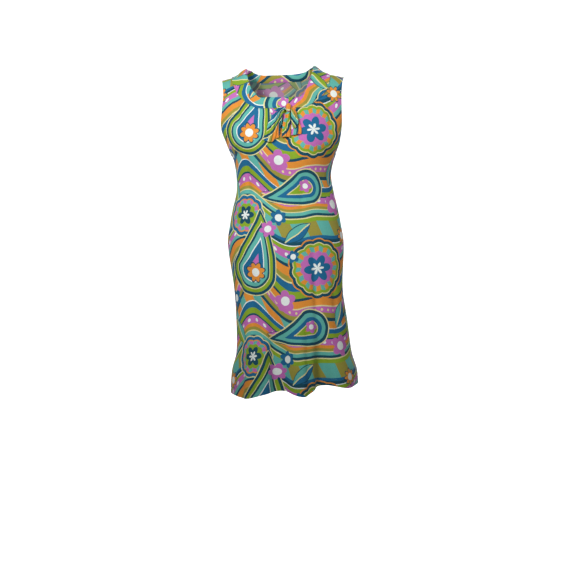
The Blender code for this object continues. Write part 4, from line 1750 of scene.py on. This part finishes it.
GROUND_WAVES = ((1, 0.4, 0.042), (2, 2.1, 0.017))
CROSS_WAVE = 0.020
BLOCK_LEAN = 0.4
BLOCK_BANDS = ((0.298, 0.350, 7, Ink.ORANGE), (0.870, 1.0, 5, Ink.AQUA))
DOT_BANDS = (
    (0.184, 0.0052, 15, Ink.WHITE), (0.748, 0.0054, 13, Ink.WHITE), (0.425, 0.0036, 20, Ink.CREAM),
)
LEAF_LINES: Stops = ((0.0, Ink.PETROL), (0.5, Ink.CREAM))
MOTIFS: tuple[Motif, ...] = (
    Leaf(0.035, -0.055, 0.052, 38, LEAF_LINES),
    Leaf(-0.185, -0.345, 0.050, 118, LEAF_LINES, halves=(Ink.LIME, Ink.AQUA)),
    Leaf(0.175, -0.300, 0.046, 70, LEAF_LINES),
    Leaf(-0.035, -0.372, 0.044, 160, LEAF_LINES, halves=(Ink.ORANGE, Ink.ORCHID)),
    Medallion(0.095, -0.165, 0.094, 10, RING_BANDS, petals=14, cut=0.05),
    Medallion(-0.125, -0.425, 0.066, 0, SMALL_RING_BANDS, petals=10, cut=0.07, blocks=10,
              block_ink=Ink.AQUA, heart=((0.0, Ink.PETROL), (0.5, Ink.WHITE))),
    Paisley(-0.105, -0.165, 0.078, 62, DROP_BANDS, length=0.180, bend=1.9),
    Paisley(0.070, -0.345, 0.058, -152, SMALL_DROP_BANDS, length=0.140, bend=-2.2),
    Flower(-0.098, -0.172, 0.034, 15, ORANGE_PETALS, petals=8, cut=0.3, eye=0.38),
    Flower(0.068, -0.341, 0.020, 0, ORCHID_PETALS, petals=5, cut=0.35, eye=0.40),
    Flower(-0.012, -0.262, 0.034, 20, ORCHID_PETALS, petals=5, eye=0.42),
    Flower(-0.195, -0.242, 0.027, 50, BLUE_PETALS, petals=5, eye=0.42),
    Flower(0.168, -0.398, 0.034, 5, ORCHID_PETALS, petals=5, eye=0.40),
    Flower(-0.020, -0.435, 0.025, 30, BLUE_PETALS, petals=6, eye=0.44),
    Flower(0.020, -0.128, 0.020, 30, BLUE_PETALS, petals=5, eye=0.44),
    Flower(0.195, -0.062, 0.028, 12, ORANGE_PETALS, petals=8, cut=0.45, eye=0.40),
    Flower(-0.052, -0.040, 0.026, 12, ORCHID_PETALS, petals=6, eye=0.42),
)


def print_group() -> bpy.types.NodeTree:
    """The print as one group, from a place on the flat cloth to its colour.

    Returns:
        The group.
    """
    group = Group("print", ("u", "v"))
    u, v = group.inputs
    width, height = PRINT_REPEAT
    wave = 2 * math.pi / width
    line = v
    for times, start, size in GROUND_WAVES:
        line = line + group.math("SINE", u * (times * wave) + start) * size
    line = line + group.math("SINE", v * (2 * math.pi / height)) * CROSS_WAVE
    row = group.math("WRAP", line * (1 / height), 1.0, 0.0)
    colour = group.bands(row, GROUND_BANDS)
    for low, high, count, ink in BLOCK_BANDS:
        block = group.math("SINE", (u + v * BLOCK_LEAN) * (wave * count)) > 0.0
        inside = (row > low) * (row < high)
        colour = group.blend(block * inside, colour, ink.linear)
    for middle, radius, count, ink in DOT_BANDS:
        pitch = width / count
        along = group.math("WRAP", u, pitch / 2, -pitch / 2)
        off = (row - middle) * height
        colour = group.blend(along * along + off * off < radius ** 2, colour, ink.linear)
    for motif in MOTIFS:
        colour = motif.lay(group, colour, u, v, PRINT_REPEAT)
    return group.close(colour)


@dataclass(frozen=True)
class PrintedJersey:
    """Soft knitted jersey with a bright print of drops, rings, leaves and flowers."""

    name: str
    design: bpy.types.NodeTree
    shift: tuple[float, float] = (0.0, 0.0)
    turn: float = 0.0
    wrong_side: bool = False
    # Share and grey mixed into the wrong side: partly the paler back of the print, partly painted
    # shade of the dress's dim inside.
    wrong_side_and_shade_tint: tuple[float, Colour] = (0.34, (0.46, 0.47, 0.43))
    drift_noise: tuple[float, float] = (14.0, 1.0)
    drift: tuple[float, float] = (0.007, 0.006)
    mottle_noise: tuple[float, float] = (260.0, 3.0)
    mottle: tuple[float, float] = (0.22, 0.86)
    rough_noise: tuple[float, float] = (90.0, 2.0)
    roughness: float = 0.78
    rough_spread: float = 0.10
    gloss: float = 0.22
    sheen: float = 0.08
    sheen_roughness: float = 0.45
    knit: float = 0.0009
    course_height: float = 1.3
    knit_rise: tuple[float, float] = (0.5, 0.25)
    bump: tuple[float, float] = (0.16, 0.0004)

    def make(self) -> bpy.types.Material:
        """Dyes, prints and knits the cloth, and on its wrong side greys the colour, partly as
        painted shade.

        Returns:
            The finished material.
        """
        shader = Shader(self.name)
        flat = shader.add("ShaderNodeUVMap", {"uv_map": "cloth"})
        drift = shader.noise(flat, *self.drift_noise)
        x = shader.add("ShaderNodeSeparateXYZ", {}, {0: flat})
        y = Value(shader, x.socket.node.outputs[1])
        c, s = math.cos(math.radians(self.turn)), math.sin(math.radians(self.turn))
        u = x * c + y * s + self.shift[0] + drift * self.drift[0]
        v = y * c - x * s + self.shift[1] - drift * self.drift[1]
        colour = shader.add("ShaderNodeGroup", {"node_tree": self.design}, {0: u, 1: v})
        mottle = shader.noise(flat, *self.mottle_noise)
        grey = mottle * self.mottle[0] + self.mottle[1]
        tone = shader.add("ShaderNodeCombineColor", {}, {0: grey, 1: grey, 2: grey})
        colour = shader.blend(1.0, colour, tone, "MULTIPLY")
        if self.wrong_side:
            # Greys the wrong side: partly the paler back of the print, partly painted shade standing
            # in for the dim inside of the dress.
            share, pale_and_shade_tint = self.wrong_side_and_shade_tint
            colour = shader.blend(share, colour, pale_and_shade_tint)
        shader.feed("Base Color", colour)
        rough = shader.noise(flat, *self.rough_noise) * self.rough_spread
        shader.feed("Roughness", rough + (self.roughness - self.rough_spread / 2))
        base = shader.principled.inputs
        base["Specular IOR Level"].default_value = self.gloss
        base["Sheen Weight"].default_value = self.sheen
        base["Sheen Roughness"].default_value = self.sheen_roughness
        wale = shader.math("SINE", x * (2 * math.pi / self.knit))
        course = shader.math("SINE", y * (2 * math.pi / (self.knit * self.course_height)))
        rise = wale * self.knit_rise[0] + course * self.knit_rise[1] + mottle
        strength, deep = self.bump
        shader.feed("Normal", shader.add(
            "ShaderNodeBump", {}, {"Strength": strength, "Distance": deep, "Height": rise}
        ))
        return shader.material


@dataclass(frozen=True)
class Thread:
    """Sewing thread, a twisted line with a faint gloss."""

    name: str = "olive_thread"
    colour: Colour = (0.30, 0.27, 0.09)
    shade: float = 0.7
    twist: float = 1800.0
    roughness: tuple[float, float] = (0.4, 0.2)

    def make(self) -> bpy.types.Material:
        """Dyes and twists the thread.

        Returns:
            The finished material.
        """
        shader = Shader(self.name)
        place = shader.add("ShaderNodeTexCoord", output="Object")
        twist = shader.add("ShaderNodeTexNoise", {}, {"Vector": place, "Scale": self.twist})
        dark = tuple(c * self.shade for c in self.colour)
        shader.feed("Base Color", shader.blend(twist, dark, self.colour))
        low, spread = self.roughness
        shader.feed("Roughness", twist * spread + low)
        return shader.material


# ---------------------------------------------------------------------------------------------
# The studio
# ---------------------------------------------------------------------------------------------


@dataclass(frozen=True)
class Studio:
    """A pale floor that rises into a backdrop, soft light and the camera."""

    floor: float = -1.80
    distance: float = 4.0
    eye: float = -0.638
    pixel: float = 0.00308
    frame: int = 570
    glow: float = 1.0
    lit: tuple[tuple[float, float], ...] = ((2.3, 1.75), (0.6, 1.2), (1.8, 1.1))
    paper: tuple[float, float] = (0.75, 0.9)
    half_width: float = 6.0
    reach: tuple[float, float] = (-4.5, 2.2)
    bend: float = 1.2
    bend_steps: int = 13
    top: float = 4.5
    world: float = 0.25
    aim: tuple[float, float, float] = (0.0, 0.0, -0.12)
    lamp_radius: float = 0.24
    lamps: tuple[tuple, ...] = (
        ("key", (-1.00, -2.05, 0.60), 180.0, 49), ("side", (1.15, -1.90, 0.50), 50.0, 46),
        ("back", (0.90, 2.20, 1.00), 150.0, 70),
    )

    def stage(self) -> bpy.types.Object:
        """The floor and the backdrop in one sweep.

        Returns:
            The sweep.
        """
        near, far = self.reach
        bend = [(near, 0.0)]
        bend += [
            (far + self.bend * math.sin(a), self.bend - self.bend * math.cos(a))
            for a in np.linspace(0, math.pi / 2, self.bend_steps)
        ]
        bend.append((far + self.bend, self.top))
        model = bmesh.new()
        lines = [
            [model.verts.new((x, y, self.floor + z)) for y, z in bend]
            for x in (-self.half_width, self.half_width)
        ]
        for i in range(len(bend) - 1):
            model.faces.new((lines[0][i], lines[1][i], lines[1][i + 1], lines[0][i + 1]))
        mesh = bpy.data.meshes.new("backdrop")
        bmesh.ops.recalc_face_normals(model, faces=model.faces)
        model.to_mesh(mesh)
        model.free()
        mesh.shade_smooth()
        shader = Shader("white_paper")
        base = shader.principled.inputs
        grey, rough = self.paper
        base["Base Color"].default_value = (grey, grey, grey, 1.0)
        base["Roughness"].default_value = rough
        place = shader.add("ShaderNodeTexCoord", output="Object")
        x = shader.add("ShaderNodeSeparateXYZ", {}, {0: place})
        y, z = (Value(shader, x.socket.node.outputs[i]) for i in (1, 2))
        across, behind, up = (
            shader.add("ShaderNodeMapRange", {"interpolation_type": "SMOOTHSTEP"},
                       {0: way, 1: dark, 2: bright})
            for way, (dark, bright) in zip((abs(x), y, z), self.lit)
        )
        lit = across * behind * up
        shader.feed("Emission Color", shader.blend(lit, (0.0, 0.0, 0.0), (1.0, 1.0, 1.0)))
        base["Emission Strength"].default_value = self.glow
        mesh.materials.append(shader.material)
        sweep = bpy.data.objects.new("backdrop", mesh)
        bpy.context.scene.collection.objects.link(sweep)
        return sweep

    def lamp(self, name: str, place: tuple[float, ...], power: float, cone: float) -> None:
        """A soft round lamp that looks at the chest, weaker towards the edge of its cone.

        Args:
            name: the lamp's name.
            place: where it stands.
            power: its watts.
            cone: how wide its cone is, in degrees.
        """
        data = bpy.data.lights.new(name, "SPOT")
        data.energy, data.shadow_soft_size = power, self.lamp_radius
        data.spot_size, data.spot_blend = math.radians(cone), 1.0
        lamp = bpy.data.objects.new(name, data)
        lamp.location = place
        aim = np.array(self.aim) - np.array(place)
        lamp.rotation_euler = mathutils.Vector(aim).to_track_quat("-Z", "Y").to_euler()
        bpy.context.scene.collection.objects.link(lamp)

    def light(self) -> None:
        """Soft light from the front left, weaker from the front right, and a lamp behind."""
        world = bpy.data.worlds.new("studio")
        world.use_nodes = True
        back = world.node_tree.nodes["Background"].inputs
        back["Color"].default_value = (1.0, 1.0, 1.0, 1.0)
        back["Strength"].default_value = self.world
        bpy.context.scene.world = world
        bpy.context.scene.view_settings.view_transform = "Standard"
        for lamp in self.lamps:
            self.lamp(*lamp)

    def camera(self) -> None:
        """A level camera in front of the dress."""
        data = bpy.data.cameras.new("camera")
        data.sensor_fit = "HORIZONTAL"
        data.angle = 2 * math.atan(0.5 * self.frame * self.pixel / self.distance)
        camera = bpy.data.objects.new("camera", data)
        camera.location = (0.0, -self.distance, self.eye)
        camera.rotation_euler = (math.pi / 2, 0.0, 0.0)
        bpy.context.scene.collection.objects.link(camera)
        bpy.context.scene.camera = camera


# ---------------------------------------------------------------------------------------------
# The whole dress
# ---------------------------------------------------------------------------------------------

FRONT_CREASES = (
    Crease(((-0.110, -0.560), (-0.102, -0.690), (-0.092, -0.830)), 0.0120, 0.0120, False, 0.022),
    Crease(((-0.040, -0.640), (-0.032, -0.820), (-0.022, -0.990)), 0.0230, 0.0210, True, 0.036,
           core=0.8),
    Crease(((0.104, -0.740), (0.117, -0.990)), 0.0200, 0.0180, True, 0.030, core=0.8),
    Crease(((-0.140, -0.590), (-0.134, -0.680)), 0.0060, 0.0070),
    Crease(((-0.113, -0.235), (-0.113, -0.300), (-0.108, -0.380)), 0.0056, 0.0075),
    Crease(((0.064, -0.720), (0.070, -0.850), (0.078, -0.990)), 0.0100, 0.0120, True, 0.018),
    Crease(((-0.126, -0.780), (-0.134, -0.990)), 0.0086, 0.0090, True),
    Crease(((0.062, -0.290), (0.050, -0.370), (0.052, -0.440)), 0.0036, 0.0110),
    Crease(((0.150, -0.345), (0.115, -0.370), (0.078, -0.378)), 0.0024, 0.0080),
    Crease(((0.152, -0.382), (0.108, -0.400)), 0.0018, 0.0070),
    Crease(((-0.152, -0.356), (-0.120, -0.384), (-0.082, -0.392)), 0.0024, 0.0080),
    Crease(((-0.154, -0.405), (-0.112, -0.418)), 0.0016, 0.0070),
    Crease(((-0.150, -0.060), (-0.140, -0.120), (-0.142, -0.190)), 0.0044, 0.0085),
    Crease(((0.140, -0.050), (0.136, -0.110), (0.140, -0.190)), 0.0042, 0.0085),
    Crease(((0.000, -0.500), (0.010, -0.620), (0.004, -0.720)), 0.0036, 0.0130),
    Crease(((0.082, -0.500), (0.094, -0.660), (0.100, -0.800)), 0.0084, 0.0110),
    Crease(((-0.165, -0.220), (-0.140, -0.226), (-0.118, -0.228)), 0.0020, 0.0030),
    Crease(((0.157, -0.214), (0.134, -0.218), (0.112, -0.221)), 0.0020, 0.0030),
    Crease(((-0.022, -0.230), (-0.012, -0.300), (-0.016, -0.360)), 0.0034, 0.0120),
    Crease(((-0.070, -0.440), (-0.074, -0.520), (-0.070, -0.600)), 0.0034, 0.0120),
    Crease(((0.146, -0.560), (0.152, -0.680), (0.160, -0.800)), 0.0050, 0.0110),
)
BACK_CREASES = (
    Crease(((-0.090, -0.560), (-0.084, -0.700), (-0.080, -0.850)), 0.0120, 0.0130, False, 0.022),
    Crease(((0.024, -0.640), (0.032, -0.820), (0.026, -0.990)), 0.0190, 0.0180, True, 0.030,
           core=0.8),
    Crease(((0.120, -0.720), (0.128, -0.990)), 0.0160, 0.0160, True, 0.026, core=0.8),
    Crease(((-0.124, -0.760), (-0.120, -0.990)), 0.0140, 0.0170, True, 0.026, core=0.8),
    Crease(((-0.030, -0.720), (-0.038, -0.910)), 0.0066, 0.0135),
    Crease(((0.000, -0.280), (0.004, -0.350), (0.000, -0.420)), 0.0044, 0.0120),
    Crease(((-0.134, -0.346), (-0.070, -0.370), (-0.008, -0.376)), 0.0046, 0.0080),
    Crease(((0.138, -0.338), (0.080, -0.364), (0.018, -0.372)), 0.0042, 0.0080),
    Crease(((-0.122, -0.385), (-0.056, -0.404)), 0.0032, 0.0070),
    Crease(((0.127, -0.378), (0.058, -0.398)), 0.0034, 0.0070),
    Crease(((-0.145, -0.070), (-0.128, -0.140), (-0.134, -0.210)), 0.0044, 0.0100),
    Crease(((0.142, -0.060), (0.126, -0.130), (0.132, -0.200)), 0.0042, 0.0100),
    Crease(((-0.060, -0.100), (-0.050, -0.180)), 0.0028, 0.0120),
    Crease(((0.050, -0.110), (0.056, -0.190)), 0.0026, 0.0120),
    Crease(((0.088, -0.550), (0.094, -0.700)), 0.0060, 0.0125),
    Crease(((-0.012, -0.480), (-0.004, -0.600)), 0.0038, 0.0140),
)


@dataclass
class Sewing:
    """Lines of stitches along the hems and the armholes."""

    row: StitchRow = field(default_factory=StitchRow)

    def hem(self, panel: Panel, finish: bpy.types.Material) -> bpy.types.Object:
        """Stitches along the top of a turned hem."""
        line, normals = panel.across_line(panel.hem_depth)
        return self.row.build(f"{panel.name}_hem_stitches", line, normals, finish)

    def armholes(self, panel: Panel, finish: bpy.types.Material) -> list[bpy.types.Object]:
        """Stitches along the edge of each armhole.

        Args:
            panel: the panel that is sewn.
            finish: material of the thread.

        Returns:
            The rows of stitches.
        """
        pieces = []
        for name, end in (("right_arm", 0), ("left_arm", -1)):
            line, normals = panel.armhole_line(end)
            title = f"{panel.name}_{name}_stitches"
            pieces.append(self.row.build(title, line, normals, finish))
        return pieces


def main() -> None:
    """Builds the dress, sews it and lights it."""
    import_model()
    design = print_group()
    jersey, back_jersey, collar_jersey, bow_jersey = (
        [
            PrintedJersey(f"{name}{ending}", design, shift, turn, wrong).make()
            for ending, wrong in (("", False), ("_wrong_side", True))
        ]
        for name, shift, turn in (
            ("printed_jersey", (0.0, 0.0), 0), ("printed_jersey_back", (0.19, 0.07), 0),
            ("collar_jersey", (0.05, 0.11), 90), ("bow_jersey", (0.0, 0.0), 0),
        )
    )
    thread = Thread().make()
    form = DressForm()
    sewing = Sewing()
    for side, creases, finishes in (
        (Side.FRONT, FRONT_CREASES, jersey), (Side.BACK, BACK_CREASES, back_jersey),
    ):
        panel = Panel(side, form, creases)
        panel.build(finishes)
        sewing.hem(panel, thread)
        sewing.armholes(panel, thread)
    Collar(form).build(collar_jersey)
    bow = Bow(form)
    bow.build_knot(bow_jersey[0])
    for strip in STRIPS:
        bow.build_strip(strip, bow_jersey)
    studio = Studio()
    studio.stage()
    studio.light()
    studio.camera()


if __name__ == "__main__":
    logging.basicConfig(level=logging.INFO, format="%(name)s: %(message)s")
    main()
